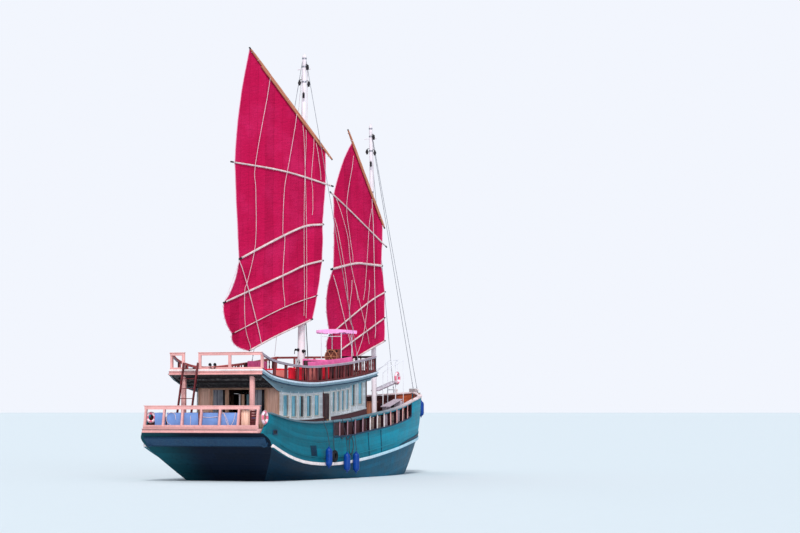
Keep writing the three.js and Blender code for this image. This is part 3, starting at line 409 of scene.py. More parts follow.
class Graph:
    """Lays out one node tree. Inputs are values or the sockets that feed them."""

    def __init__(self, tree):
        self.tree = tree

    def add(self, kind, inputs=None, **settings):
        node = self.tree.nodes.new(kind if kind.startswith("Node") else f"ShaderNode{kind}")
        for key, value in settings.items():
            setattr(node, key, value)
        for key, value in (inputs or {}).items():
            self.feed(node.inputs[key], value)
        return node

    def feed(self, socket, value):
        if isinstance(value, bpy.types.NodeSocket):
            self.tree.links.new(value, socket)
        else:
            socket.default_value = value

    def math(self, operation, a, b=0.0):
        return self.add("Math", {0: a, 1: b}, operation=operation).outputs[0]

    def times(self, a, b):
        return self.math("MULTIPLY", a, b)

    def plus(self, a, b):
        return self.math("ADD", a, b)

    def less(self, a, b):
        return self.math("SUBTRACT", a, b)

    def toned(self, colour, tone):
        """A colour or vector times a number."""
        return self.add("VectorMath", {0: colour, "Scale": tone}, operation="SCALE").outputs[0]

    def mix(self, factor, a, b, blend="MIX"):
        node = self.add("Mix", {0: factor, 6: a, 7: b}, data_type="RGBA", blend_type=blend)
        return node.outputs[2]

    def step(self, value, low, high, to_low=0.0, to_high=1.0):
        return self.add("MapRange", {"Value": value, "From Min": low, "From Max": high, "To Min": to_low,
            "To Max": to_high}, interpolation_type="SMOOTHSTEP").outputs["Result"]

    def noise(self, vector, scale, detail=4.0, rough=0.55):
        return self.add("TexNoise", {"Vector": vector, "Scale": scale, "Detail": detail,
            "Roughness": rough}).outputs["Fac"]

    def scaled(self, vector, scale, turn=(0, 0, 0)):
        return self.add("Mapping", {"Vector": vector, "Scale": scale, "Rotation": turn}).outputs["Vector"]

    def group(self, name, **inputs):
        node = self.tree.nodes.new("ShaderNodeGroup")
        node.node_tree = GROUPS[name]
        for key, value in inputs.items():
            self.feed(node.inputs[key], value)
        return node.outputs


def grouped(name, inputs, outputs):
    """An empty shared effect, with its graph, its inputs and its output node."""
    tree = bpy.data.node_groups.new(name, "ShaderNodeTree")
    for socket, (kind, value) in inputs.items():
        made = tree.interface.new_socket(name=socket, in_out="INPUT", socket_type=f"NodeSocket{kind}")
        if value is not None:
            made.default_value = value
    for socket, kind in outputs.items():
        tree.interface.new_socket(name=socket, in_out="OUTPUT", socket_type=f"NodeSocket{kind}")
    GROUPS[name] = tree
    graph = Graph(tree)
    return graph, graph.add("NodeGroupInput").outputs, graph.add("NodeGroupOutput").inputs


def shared_effects():
    # Brushed paint: mottling, rain streaks, salt and rubbed edges over a base colour
    g, given, out = grouped("old_paint", {"Vector": ("Vector", None),
        "Paint": ("Color", (0.5, 0.5, 0.5, 1)), "Dirt": ("Color", (0.2, 0.15, 0.12, 1)),
        "Rubbed": ("Color", (0.7, 0.7, 0.7, 1)), "Mottle": ("Float", 0.12), "Streaks": ("Float", 0.3),
        "Wear": ("Float", 0.3)}, {"Color": "Color", "Roughness": "Float", "Height": "Float"})
    patch = g.noise(given["Vector"], 1.3, 6, 0.6)
    shade = g.step(patch, 0.25, 0.75, -1, 1)
    tone = g.plus(1.0, g.times(shade, given["Mottle"]))
    scaled = g.toned(given["Paint"], tone)
    runs = g.noise(g.scaled(given["Vector"], (9, 9, 0.55)), 1.0, 5, 0.65)
    runs = g.times(g.step(runs, 0.52, 0.74), given["Streaks"])
    dirty = g.mix(runs, scaled, given["Dirt"])
    edge = g.add("NewGeometry").outputs["Pointiness"]
    chips = g.noise(given["Vector"], 24, 4, 0.7)
    chips = g.times(g.step(chips, 0.45, 0.7), g.step(edge, 0.51, 0.56))
    spots = g.step(g.noise(given["Vector"], 5.5, 8, 0.75), 0.66, 0.72)
    wear = g.times(g.math("MAXIMUM", chips, spots), given["Wear"])
    g.feed(out["Color"], g.mix(wear, dirty, given["Rubbed"]))
    rough = g.plus(g.times(patch, 0.3), g.times(runs, 0.3))
    g.feed(out["Roughness"], rough)
    brush = g.noise(g.scaled(given["Vector"], (3, 3, 30)), 2.0, 3, 0.5)
    g.feed(out["Height"], g.less(brush, g.times(wear, 0.8)))

    # Boards laid edge to edge. Along and across are the vector's x and y.
    g, given, out = grouped("boards", {"Vector": ("Vector", None), "Width": ("Float", 0.15),
        "Length": ("Float", 3.2), "Seam": ("Float", 0.03)},
        {"Seam": "Float", "Board": "Float", "Crown": "Float"})
    parts = g.add("SeparateXYZ", {0: given["Vector"]}).outputs
    rows = g.math("DIVIDE", parts["Y"], given["Width"])
    row = g.math("FLOOR", rows)
    across = g.math("FRACT", rows)
    shift = g.add("TexWhiteNoise", {"W": row}, noise_dimensions="1D").outputs["Value"]
    runs = g.plus(g.math("DIVIDE", parts["X"], given["Length"]), g.times(shift, 5))
    along = g.math("FRACT", runs)
    side = g.math("MINIMUM", across, g.less(1.0, across))
    seam = g.less(1.0, g.step(side, 0.0, given["Seam"]))
    end = g.math("MINIMUM", along, g.less(1.0, along))
    butt = g.less(1.0, g.step(g.times(end, given["Length"]), 0.0, 0.006))
    cell = g.add("CombineXYZ", {"X": g.math("FLOOR", runs), "Y": row}).outputs[0]
    g.feed(out["Seam"], g.math("MAXIMUM", seam, butt))
    board = g.add("TexWhiteNoise", {"Vector": cell}, noise_dimensions="2D").outputs["Value"]
    g.feed(out["Board"], board)
    g.feed(out["Crown"], g.step(side, 0.0, 0.5))

    # Grain that runs along the vector's x
    g, given, out = grouped("grain", {"Vector": ("Vector", None), "Fineness": ("Float", 1.0),
        "Light": ("Color", (0.5, 0.3, 0.15, 1)), "Dark": ("Color", (0.2, 0.1, 0.05, 1))},
        {"Color": "Color", "Height": "Float"})
    fine = g.toned(given["Vector"], given["Fineness"])
    stretched = g.scaled(fine, (1.1, 16, 16))
    broad = g.noise(stretched, 1.0, 3, 0.5)
    thin = g.noise(g.scaled(stretched, (1, 5, 5)), 1.6, 6, 0.7)
    figure = g.plus(g.times(broad, 0.65), g.times(thin, 0.35))
    tone = g.step(figure, 0.34, 0.68)
    g.feed(out["Color"], g.mix(tone, given["Dark"], given["Light"]))
    g.feed(out["Height"], figure)

    # Plain weave of a coarse cloth
    g, given, out = grouped("weave", {"Vector": ("Vector", None), "Threads": ("Float", 400.0)},
        {"Height": "Float"})
    parts = g.add("SeparateXYZ", {0: given["Vector"]}).outputs
    waves = [g.math("SINE", g.times(parts[axis], given["Threads"])) for axis in ("X", "Y")]
    g.feed(out["Height"], g.times(waves[0], waves[1]))

    # Strands of a laid rope. x is metres along it and y a share of the way round.
    g, given, out = grouped("lay", {"Vector": ("Vector", None), "Pitch": ("Float", 0.09)},
        {"Height": "Float"})
    parts = g.add("SeparateXYZ", {0: given["Vector"]}).outputs
    turns = g.plus(g.math("DIVIDE", parts["X"], given["Pitch"]), parts["Y"])
    strand = g.math("ABSOLUTE", g.math("SINE", g.times(turns, math.pi * 3)))
    g.feed(out["Height"], g.math("POWER", strand, 0.6))


def material(name, build, **settings):
    """A material whose build gives its colour, its roughness and its bump height."""
    made = bpy.data.materials.new(name)
    made.use_nodes = True
    made.node_tree.nodes.clear()
    g = Graph(made.node_tree)
    shader = g.add("BsdfPrincipled")
    g.add("OutputMaterial", {"Surface": shader.outputs[0]})
    place = g.add("TexCoord").outputs
    colour, rough, height, depth = build(g, place)
    g.feed(shader.inputs["Base Color"], colour)
    g.feed(shader.inputs["Roughness"], rough)
    if height is not None:
        bump = g.add("Bump", {"Height": height, "Distance": depth, "Strength": 1.0})
        g.feed(shader.inputs["Normal"], bump.outputs[0])
    for key, value in {"Specular_IOR_Level": 0.22, **settings}.items():
        shader.inputs[key.replace("_", " ")].default_value = value
    MATERIALS[name] = made


def solid(colour):
    return (*colour, 1)


def darker(colour, share):
    return tuple(value * share for value in colour)


def painted(paint, rubbed=(0.6, 0.62, 0.6), dirt=(0.06, 0.05, 0.04), mottle=0.12, streaks=0.25, wear=0.35,
        gloss=0.38, boards=None, seam=0.55, turn=None):
    """Paint on wood. Boards: their width, seam and length, laid on the piece's own UV map.
    Turn: an axis, where the colour starts and ends to change along it, and what it becomes."""
    def build(g, place):
        colour = solid(paint)
        height = None
        if turn:
            axis, start, end, other = turn
            along = g.add("SeparateXYZ", {0: place["Object"]}).outputs[axis]
            colour = g.mix(g.step(along, start, end), colour, solid(other))
        if boards:
            laid = g.group("boards", Vector=place["UV"], Width=boards[0], Seam=boards[1], Length=boards[2])
            tone = g.less(g.step(laid["Board"], 0, 1, 0.86, 1.12), g.times(laid["Seam"], seam * 0.7))
            colour = g.toned(colour if turn else paint, tone)
            height = g.less(g.times(laid["Crown"], 0.5), laid["Seam"])
        old = g.group("old_paint", Vector=place["Object"], Paint=colour, Dirt=solid(dirt),
            Rubbed=solid(rubbed), Mottle=mottle, Streaks=streaks, Wear=wear)
        brushed = g.times(old["Height"], 0.25)
        total = g.plus(height, brushed) if height is not None else brushed
        return old["Color"], g.plus(old["Roughness"], gloss), total, 0.004
    return build


def timber(light, dark, fineness=1.0, turn=(0, 0, 0), coordinates="Object", boards=None, rough=0.45,
        grey=0.0):
    """Bare or varnished wood, its grain along x before the turn."""
    def build(g, place):
        along = g.scaled(place[coordinates], (1, 1, 1), turn)
        grain = g.group("grain", Vector=along, Fineness=fineness, Light=solid(light), Dark=solid(dark))
        colour, height = grain["Color"], g.times(grain["Height"], 0.3)
        if boards:
            laid = g.group("boards", Vector=along, Width=boards[0], Seam=boards[1], Length=boards[2])
            tone = g.step(laid["Board"], 0, 1, 0.72, 1.2)
            colour = g.toned(colour, tone)
            colour = g.mix(laid["Seam"], colour, (0.012, 0.01, 0.008, 1))
            height = g.less(height, laid["Seam"])
        if grey:
            patches = g.step(g.noise(place["Object"], 2.2, 6, 0.65), 0.42, 0.62)
            colour = g.mix(g.times(patches, grey), colour, solid(tint(168, 160, 160)))
        dull = g.step(g.noise(place["Object"], 3.0, 5, 0.6), 0.3, 0.75, rough - 0.08, rough + 0.18)
        return colour, dull, height, 0.003
    return build


def cloth(colour, mottle=0.12, coordinates="UV"):
    def build(g, place):
        patch = g.noise(place["Object"], 2.4, 5, 0.6)
        tone = g.step(patch, 0.3, 0.7, 1 - mottle, 1 + mottle)
        varied = g.toned(colour, tone)
        woven = g.group("weave", Vector=place[coordinates], Threads=700.0)["Height"]
        creases = g.noise(place["Object"], 9.0, 4, 0.6)
        height = g.plus(g.times(woven, 0.12), creases)
        return varied, g.step(patch, 0.2, 0.8, 0.72, 0.92), height, 0.006
    return build


def sail_cloth(colour):
    """Vertical cloths sewn edge to edge, faded unevenly by the sun."""
    def build(g, place):
        cloths = g.group("boards", Vector=g.scaled(place["UV"], (1, 1, 1), (0, 0, math.pi / 2)), Width=0.46,
            Seam=0.03, Length=40.0)
        shade = g.mix(cloths["Board"], solid(darker(colour, 0.8)), solid(darker(colour, 1.17)))
        faded = g.step(g.noise(place["UV"], 0.55, 6, 0.6), 0.4, 0.72)
        pale = tint(204, 44, 104)
        shade = g.mix(g.times(faded, 0.42), shade, solid(pale))
        stain = g.noise(g.scaled(place["UV"], (5, 0.7, 1)), 1.0, 5, 0.7)
        shade = g.mix(g.times(g.step(stain, 0.5, 0.75), 0.35), shade, solid(darker(colour, 0.55)))
        shade = g.mix(g.times(cloths["Seam"], 0.45), shade, solid(darker(colour, 0.5)))
        woven = g.group("weave", Vector=place["UV"], Threads=900.0)["Height"]
        creases = g.noise(g.scaled(place["UV"], (1, 2.6, 1), (0, 0, 0.6)), 3.2, 5, 0.62)
        height = g.plus(g.times(creases, 6.0), g.times(woven, 0.1))
        height = g.less(height, g.times(cloths["Seam"], 0.7))
        return shade, g.step(faded, 0, 1, 0.7, 0.88), height, 0.008
    return build


def rope(colour, dark, pitch=0.09):
    def build(g, place):
        strands = g.group("lay", Vector=place["UV"], Pitch=pitch)["Height"]
        patch = g.step(g.noise(place["Object"], 4.0, 5, 0.6), 0.3, 0.75)
        # The grooves between strands are mixed towards the dark colour: painted shade.
        tone = g.times(strands, g.plus(0.5, g.times(patch, 0.5)))
        return g.mix(tone, solid(dark), solid(colour)), 0.8, strands, 0.004
    return build


def metal(colour, spots, rough=0.35, amount=0.4):
    def build(g, place):
        patch = g.step(g.noise(place["Object"], 11.0, 7, 0.7), 0.52, 0.68)
        return (g.mix(g.times(patch, amount), solid(colour), solid(spots)),
            g.step(patch, 0, 1, rough, rough + 0.35), g.noise(place["Object"], 60.0, 3), 0.001)
    return build


def curtained(colour, dark):
    """Panes with the curtains drawn behind them: soft vertical folds in painted light and shade, brightened
    in patches by a painted sky reflection.
    """
    def build(g, place):
        painted_fold_shading = g.noise(g.scaled(place["Object"], (26, 26, 0.8)), 1.0, 3, 0.5)
        painted_sky_reflection = g.step(g.noise(place["Object"], 1.7, 3), 0.35, 0.7)
        tone = g.times(g.step(painted_fold_shading, 0.35, 0.62), g.plus(0.6, painted_sky_reflection))
        return g.mix(tone, solid(dark), solid(colour)), 0.06, None, 0
    return build


def finishes(colours):
    shared_effects()
    teal = tuple(colours.topsides)
    white = tuple(colours.trim)
    salmon = tuple(colours.stern)
    house = tuple(colours.house)
    strakes = (bpy.context.scene.junk_sizes.plank, 0.035, 4.2)
    material("topside_paint", painted(darker(teal, 0.66), boards=strakes, seam=0.4, mottle=0.16,
        streaks=0.3, rubbed=tint(50, 140, 150), dirt=tint(6, 56, 70),
        turn=("X", -9, 11, darker(teal, 1.5))), Specular_IOR_Level=0.12)
    # Below the wale the paint turns from near-black navy at the stern to teal forward: painted shade under
    # the wale.
    material("lower_shaded_paint", painted(tint(4, 40, 62), boards=strakes, seam=0.4, mottle=0.2, streaks=0.3,
        rubbed=tint(20, 96, 108), dirt=tint(4, 34, 44), turn=("X", -6.8, 0.5, tint(4, 88, 116))),
        Specular_IOR_Level=0.12)
    # The transom is painted near-black navy as painted shade, turning lighter teal towards its port edge as
    # painted light.
    material("transom_shaded_paint", painted(tint(6, 22, 42), boards=(0.24, 0.03, 5.0), streaks=0.35, wear=0.2,
        rubbed=tint(24, 60, 74), dirt=tint(3, 14, 22), turn=("Y", 0.3, 2.9, tint(4, 72, 84))),
        Specular_IOR_Level=0.1)
    material("band_paint", painted(tint(24, 62, 96), rubbed=tint(70, 110, 130), wear=0.4))
    material("slate_paint", painted(tint(16, 46, 74), rubbed=tint(70, 110, 130), wear=0.35))
    material("bottom_paint", painted(tint(74, 34, 30), rubbed=tint(90, 70, 60), streaks=0.5))
    material("trim_white", painted(white, rubbed=tint(150, 140, 140), dirt=tint(150, 128, 120),
        streaks=0.45, wear=0.5))
    material("strake_paint", painted(white, rubbed=tint(150, 160, 170), dirt=tint(130, 140, 150),
        streaks=0.4, wear=0.5, turn=("X", -4, 3, tint(182, 220, 238))))
    material("nosing_paint", painted(tint(196, 214, 230), rubbed=tint(120, 130, 140),
        dirt=tint(120, 116, 124), streaks=0.5, wear=0.5))
    material("cap_paint", painted(tint(84, 116, 130), rubbed=tint(170, 170, 174), dirt=tint(70, 84, 92),
        streaks=0.5, wear=0.6, boards=(0.6, 0.004, 1.9), seam=0.8,
        turn=("X", 0.5, 8.5, tint(226, 204, 208))))
    material("rail_paint", painted(salmon, rubbed=tint(250, 214, 204), dirt=tint(176, 96, 92), streaks=0.35,
        wear=0.35))
    material("frieze_paint", painted(tint(120, 150, 165), rubbed=tint(180, 196, 200),
        dirt=tint(76, 96, 108), streaks=0.4))
    material("house_paint", painted(house, rubbed=tint(196, 200, 198), dirt=tint(116, 120, 126),
        boards=(0.12, 0.04, 3.0), streaks=0.4))
    material("sash_paint", painted(tint(210, 210, 204), rubbed=tint(140, 116, 100), dirt=tint(110, 100, 96),
        wear=0.6))
    material("sash_teal", painted(tint(128, 176, 190), rubbed=tint(170, 186, 186), wear=0.5))
    # Near-black maroon for undersides, grooves and beams below the overhangs: painted shade.
    material("dark_shade_paint", painted(tint(26, 18, 28), boards=(0.14, 0.05, 3.0), streaks=0.2))
    material("skirting_paint", painted(tint(84, 50, 56), rubbed=tint(130, 100, 100), dirt=tint(40, 24, 30),
        streaks=0.4))
    # Grey for the side rails, partly weathering and partly painted shade; their aft ends take the salmon
    # rail paint.
    material("rail_grey_weathered_and_shaded", painted(tint(158, 144, 158), rubbed=tint(204, 194, 202),
        dirt=tint(84, 60, 68), mottle=0.25, wear=0.6))
    material("port_rail", painted(tint(204, 104, 104), rubbed=tint(210, 150, 140), dirt=tint(110, 50, 52),
        mottle=0.2))
    deck = dict(boards=(0.11, 0.05, 2.6), rough=0.6, grey=0.22, coordinates="UV")
    material("deck_planks", timber(tint(116, 86, 76), tint(66, 44, 40), 1.0, **deck))
    material("baluster_wood", timber(tint(120, 48, 52), tint(60, 22, 28), 1.6, UPRIGHT, rough=0.5))
    material("cross_wood", timber(tint(60, 18, 32), tint(30, 10, 18), 1.6, rough=0.5))
    material("post_wood", timber(tint(176, 136, 150), tint(110, 66, 80), 1.6, UPRIGHT, rough=0.5,
        grey=0.25))
    material("tan_frame", timber(tint(226, 186, 160), tint(176, 132, 108), 1.6, UPRIGHT, rough=0.5))
    # Near-black maroon for the posts' sides and the faces inside the open bays: painted shade.
    material("bay_shade_wood", timber(tint(52, 20, 30), tint(22, 10, 18), 1.4, UPRIGHT))
    # Dark maroon inside the bulwarks as painted shade, turning orange-brown at the bow as painted sunlight.
    material("inner_wood_shade_and_sun", painted(tint(62, 24, 28), rubbed=tint(120, 70, 60), dirt=tint(36, 16, 18),
        boards=(0.16, 0.05, 3.4), turn=("X", 11.7, 12.5, tint(176, 84, 52))))
    material("panel_wood", timber(tint(246, 202, 184), tint(216, 168, 148), 1.2, UPRIGHT, rough=0.4))
    material("door_wood", timber(tint(82, 46, 48), tint(36, 20, 26), 1.4, UPRIGHT))
    material("bench_wood", timber(tint(150, 84, 70), tint(88, 44, 40), 1.4))
    material("dark_fittings", metal(tint(26, 24, 30), tint(70, 52, 48), 0.45, 0.5))
    material("spar_wood", timber(tint(206, 142, 110), tint(140, 80, 60), 1.2, coordinates="UV", rough=0.5))
    material("batten_wood", rope(tint(236, 222, 222), tint(150, 116, 124), 0.22))
    material("mast_paint", painted(tint(226, 216, 224), rubbed=tint(160, 150, 150),
        dirt=tint(160, 140, 146), streaks=0.5, wear=0.4))
    material("sailcloth", sail_cloth(tuple(colours.sails)), Specular_IOR_Level=0.05)
    material("white_rope", rope(tint(240, 226, 232), tint(168, 136, 150)))
    material("edge_rope", rope(tint(240, 170, 196), tint(186, 84, 124)))
    material("tarred_rope", rope(tint(74, 74, 84), tint(24, 24, 32)))
    material("stay_wire", rope(tint(176, 178, 188), tint(80, 84, 94), 0.05), Metallic=0.3)
    material("awning_cloth", cloth(tint(253, 174, 230), mottle=0.08))
    material("red_cushion", cloth(tint(228, 26, 50), coordinates="Object"))
    material("pink_cushion", cloth(tint(240, 110, 170), coordinates="Object"))
    material("salmon_cover", cloth(tint(214, 118, 112), coordinates="Object"))
    material("blue_cushion", cloth(tint(112, 142, 200), coordinates="Object"))
    material("piping", cloth(tint(214, 218, 236), coordinates="Object"))
    material("tube_paint", painted(tint(226, 226, 236), wear=0.3, streaks=0.2))
    material("steel", metal(tint(160, 160, 170), tint(110, 88, 80)), Metallic=0.7)
    material("fender_skin", metal(tint(4, 58, 138), tint(4, 34, 86), 0.36, 0.7))
    material("buoy_skin", metal(tint(244, 214, 224), tint(206, 160, 172), 0.45, 0.4))
    material("red_skin", metal(tint(222, 110, 136), tint(180, 70, 96), 0.45, 0.4))
    material("rubber", metal(tint(20, 20, 26), tint(44, 42, 46), 0.7, 0.6))
    material("window_glass", curtained(tint(130, 196, 220), tint(50, 120, 148)))
    material("saloon_glass", curtained(tint(158, 160, 170), tint(96, 98, 112)))
    # Near-black glass: painted shade of the rooms behind the windows, and the lamps' dark lenses.
    material("dark_glass_and_shade", curtained(tint(38, 34, 42), tint(12, 12, 18)))
    material("bronze", metal(tint(150, 112, 76), tint(80, 90, 80)), Metallic=0.7)
    material("studio_floor", painted(tint(206, 218, 226), wear=0.0, streaks=0.0, mottle=0.01, gloss=0.7))


# Hull, strakes and bulwarks

ORDER = ("floor", "turn", "bilge", "water", "wale", "deck")


def hull_point(share, depth, side):
    """A point on the topsides: a share of the length, and a level from 0 at the floor to 5."""
    knots = []
    for name in ORDER:
        start, end = LINES[name][0][0], LINES[name][-1][0]
        x = start + (end - start) * share
        knots.append(Vector((x, side * breadth(name, x), level(name, x))))
    i = min(int(depth), 4)
    t = depth - i
    a = knots[max(i - 1, 0)]
    b, c = knots[i], knots[i + 1]
    d = knots[min(i + 2, 5)]
    return 0.5 * (2 * b + (c - a) * t + (2 * a - 5 * b + 4 * c - d) * t * t + (3 * b - a - 3 * c + d)
        * t ** 3)


def wale_height(x):
    return level("wale", x)


def plank_place(corner, normal):
    if normal.z > 0.8:
        return corner.x, corner.y
    if normal.x < -0.6:
        return corner.y, corner.z
    return corner.x, corner.z - wale_height(corner.x)


def hull_side_at(x, z, side, out=0.0):
    """The point on the topsides at a distance forward and a height."""
    hit = hull_tree().ray_cast(Vector((x, side * 8, z)), Vector((0, -side, 0)))
    if hit[0] is None:
        return Vector((x, side * breadth("deck", x), z))
    return hit[0] + hit[1] * out


TREES = {}


def hull_tree():
    """The planked hull's faces, for rays."""
    if "skin" not in TREES:
        mesh = bpy.data.objects["hull_planking"].data
        TREES["skin"] = BVHTree.FromPolygons([v.co for v in mesh.vertices],
            [p.vertices for p in mesh.polygons])
    return TREES["skin"]


def build_hull():
    along, down, across = 96, 40, 12
    parts = []
    for side in (-1, 1):
        parts.append(surface("side", along, down, lambda u, v, s=side: hull_point(u, 5 * v, s)))
    for name, depth in (("deck", 5), ("floor", 0)):
        parts.append(surface(name, along, across, lambda u, v, d=depth:
            hull_point(u, d, -1).lerp(hull_point(u, d, 1), v)))
    for name, share in (("transom", 0), ("bow", 1)):
        parts.append(surface(name, across, down, lambda u, v, s=share:
            hull_point(s, 5 * v, -1).lerp(hull_point(s, 5 * v, 1), u)))
    skin_piece = cleaned(joined("hull_planking", parts), merge=0.0015)
    boss = turned("boss", [(0.13, -0.64), (0.13, -0.62), (0.13, -0.2)], (-7.25, 0, 0))
    skin_piece = joined("hull_planking", [skin_piece, boss])
    mapped(skin_piece, plank_place)
    coated(skin_piece, "topside_paint", "transom_shaded_paint", "deck_planks", "bottom_paint", "lower_shaded_paint")

    def slot(centre, normal):
        if centre.z < 0:
            return 3
        if normal.z > 0.85:
            return 2
        # Aft-facing faces take the transom's paint with painted shade.
        if normal.x < -0.55:
            return 1
        # Faces below the wale take the paint with painted shade.
        return 4 if centre.z < wale_height(centre.x) else 0

    faced(skin_piece, slot)
    smooth(skin_piece, 40)
    fitted(skin_piece, replaces=["hull"])

    coated(dressed("keel", 0.02), "bottom_paint")
    stem = coated(dressed("stem_post", 0.02), "topside_paint", "lower_shaded_paint", "cap_paint")
    faced(stem, lambda c, n: 2 if c.z > 3.85 else 0 if c.z > 1.8 else 1)
    for name, side in SIDES:
        wale = coated(dressed(f"wale_{name}", 0.016, 2), "strake_paint", "topside_paint")
        faced(wale, lambda c, n: 0 if abs(n.z) < 0.4 else 1)
        mapped(wale, plank_place)
        fitted(wale)
        put(sweep(f"upper_strake_{name}", [hull_side_at(x, wale_height(x) + 0.29, side, 0.004)
            for x in spread(-9.3, 12.3, 70)], slab(0.05, 0.045, 0.016)), "topside_paint")

        def bow_band(u, v, s=side):
            x = 4.2 + 8.15 * u
            deep = 0.08 + 0.2 * u ** 0.7
            corners = [(0.012, 0.07), (0.035, 0.07), (0.035, deep + 0.02), (0.012, deep + 0.02)]
            out, up = corners[round(v * 4) % 4]
            return hull_side_at(x, wale_height(x) + up, s, out)

        put(smooth(cleaned(surface(f"bow_band_{name}", 40, 4, bow_band), fill=True)), "slate_paint")

    build_transom()
    build_side_marks()


def transom_point(y, z, out=0.0):
    hit = hull_tree().ray_cast(Vector((-14, y, z)), X)
    return hit[0] + hit[1] * out


def build_transom():
    """The band under the counter, its scrolled ends, and the planks' joints."""
    def band(u, v):
        y = -2.86 + 5.72 * u
        corners = [(0.0, 1.53), (0.05, 1.55), (0.05, 1.85), (0.0, 1.87)]
        out, z = corners[round(v * 4) % 4]
        return transom_point(y * (1 + (z - 1.87) * 0.05), z, out)

    put(smooth(cleaned(surface("transom_band", 40, 4, band), fill=True), 25), "band_paint")
    for k, (z, thick, half) in enumerate(((1.5, 0.03, 2.9), (1.9, 0.034, 2.84), (0.35, 0.03, 2.2))):
        path = [transom_point(y, z, 0.01) for y in spread(-half, half, 30)]
        put(sweep(f"transom_bead_{k}", path, slab(thick * 1.4, thick, 0.008), up=Z),
            "slate_paint" if z > 1 else "transom_shaded_paint")
    for name, side in SIDES:
        centre = transom_point(side * 2.72, 1.62, 0.04)
        turns = [(math.tau * 1.6 * t, 0.16 - 0.11 * t) for t in spread(0, 1, 30)]
        scroll = [centre + Vector((-0.01, side * math.cos(a) * r, math.sin(a) * r)) for a, r in turns]
        put(sweep(f"scroll_{name}", scroll, circle(0.022, 8), up=X), "band_paint")


def build_side_marks():
    """A slotted lead in the quarter, the drains' pipes and a plate on each side."""
    for name, side in SIDES:
        def outside(a, z, out, s=side):
            return bulwark_point(a, z, s, out)

        lead = border("lead", (-9.72, 1.99), (-9.32, 2.21), 0.05, 0.03, -0.01, outside)
        gap = filled("gap", (-9.69, 2.02), (-9.35, 2.18), 0.008, -0.02, outside)
        put(lead, "slate_paint")
        put(gap, "dark_fittings")
        for k, x in enumerate((0.1, 1.65)):
            path = [hull_side_at(x, z, side, 0.002) for z in spread(wale_height(x) + 0.08,
                level("deck", x) - 0.02, 6)]
            path += [bulwark_point(x, z, side, 0.004) for z in spread(level("deck", x) + 0.04,
                level("cap", x) - 0.82, 3)]
            pipe = sweep(f"scupper_{name}_{k}", path, slab(0.05, 0.016, 0.004), up=X)
            put(pipe, "slate_paint")

        def plate(u, v, s=side):
            x = -6.2 + 0.62 * u
            return hull_side_at(x, 0.98 + 0.52 * v, s, 0.006)

        put(modified(surface(f"chafing_plate_{name}", 6, 6, plate), "SOLIDIFY", thickness=0.008),
            "lower_shaded_paint")


BAYS = dict(count=11, aft=-3.15, pitch=0.868, post=0.17, drop=0.72)


def bulwark_point(x, z, side, out=0.0):
    """The bulwark's outer face, between the deck's edge and the cap rail."""
    low, high = level("deck", x), level("cap", x) - 0.08
    t = (z - low) / (high - low)
    half = breadth("deck", x) + (breadth("cap", x) - breadth("deck", x)) * t
    return Vector((x, side * (half + out), z))


def bulwark_timber(name, x, side, half, low, high, front, back, bevel):
    """A timber that stands on the bulwark: half its width, its ends, and its faces' place outwards."""
    obj = block(name, (x - half, -0.5, 0), (x + half, 0.5, 1), bevel)
    for vertex in obj.data.vertices:
        z = low + (high - low) * vertex.co.z
        vertex.co = bulwark_point(vertex.co.x, z, side, front if vertex.co.y > 0 else back)
    return obj


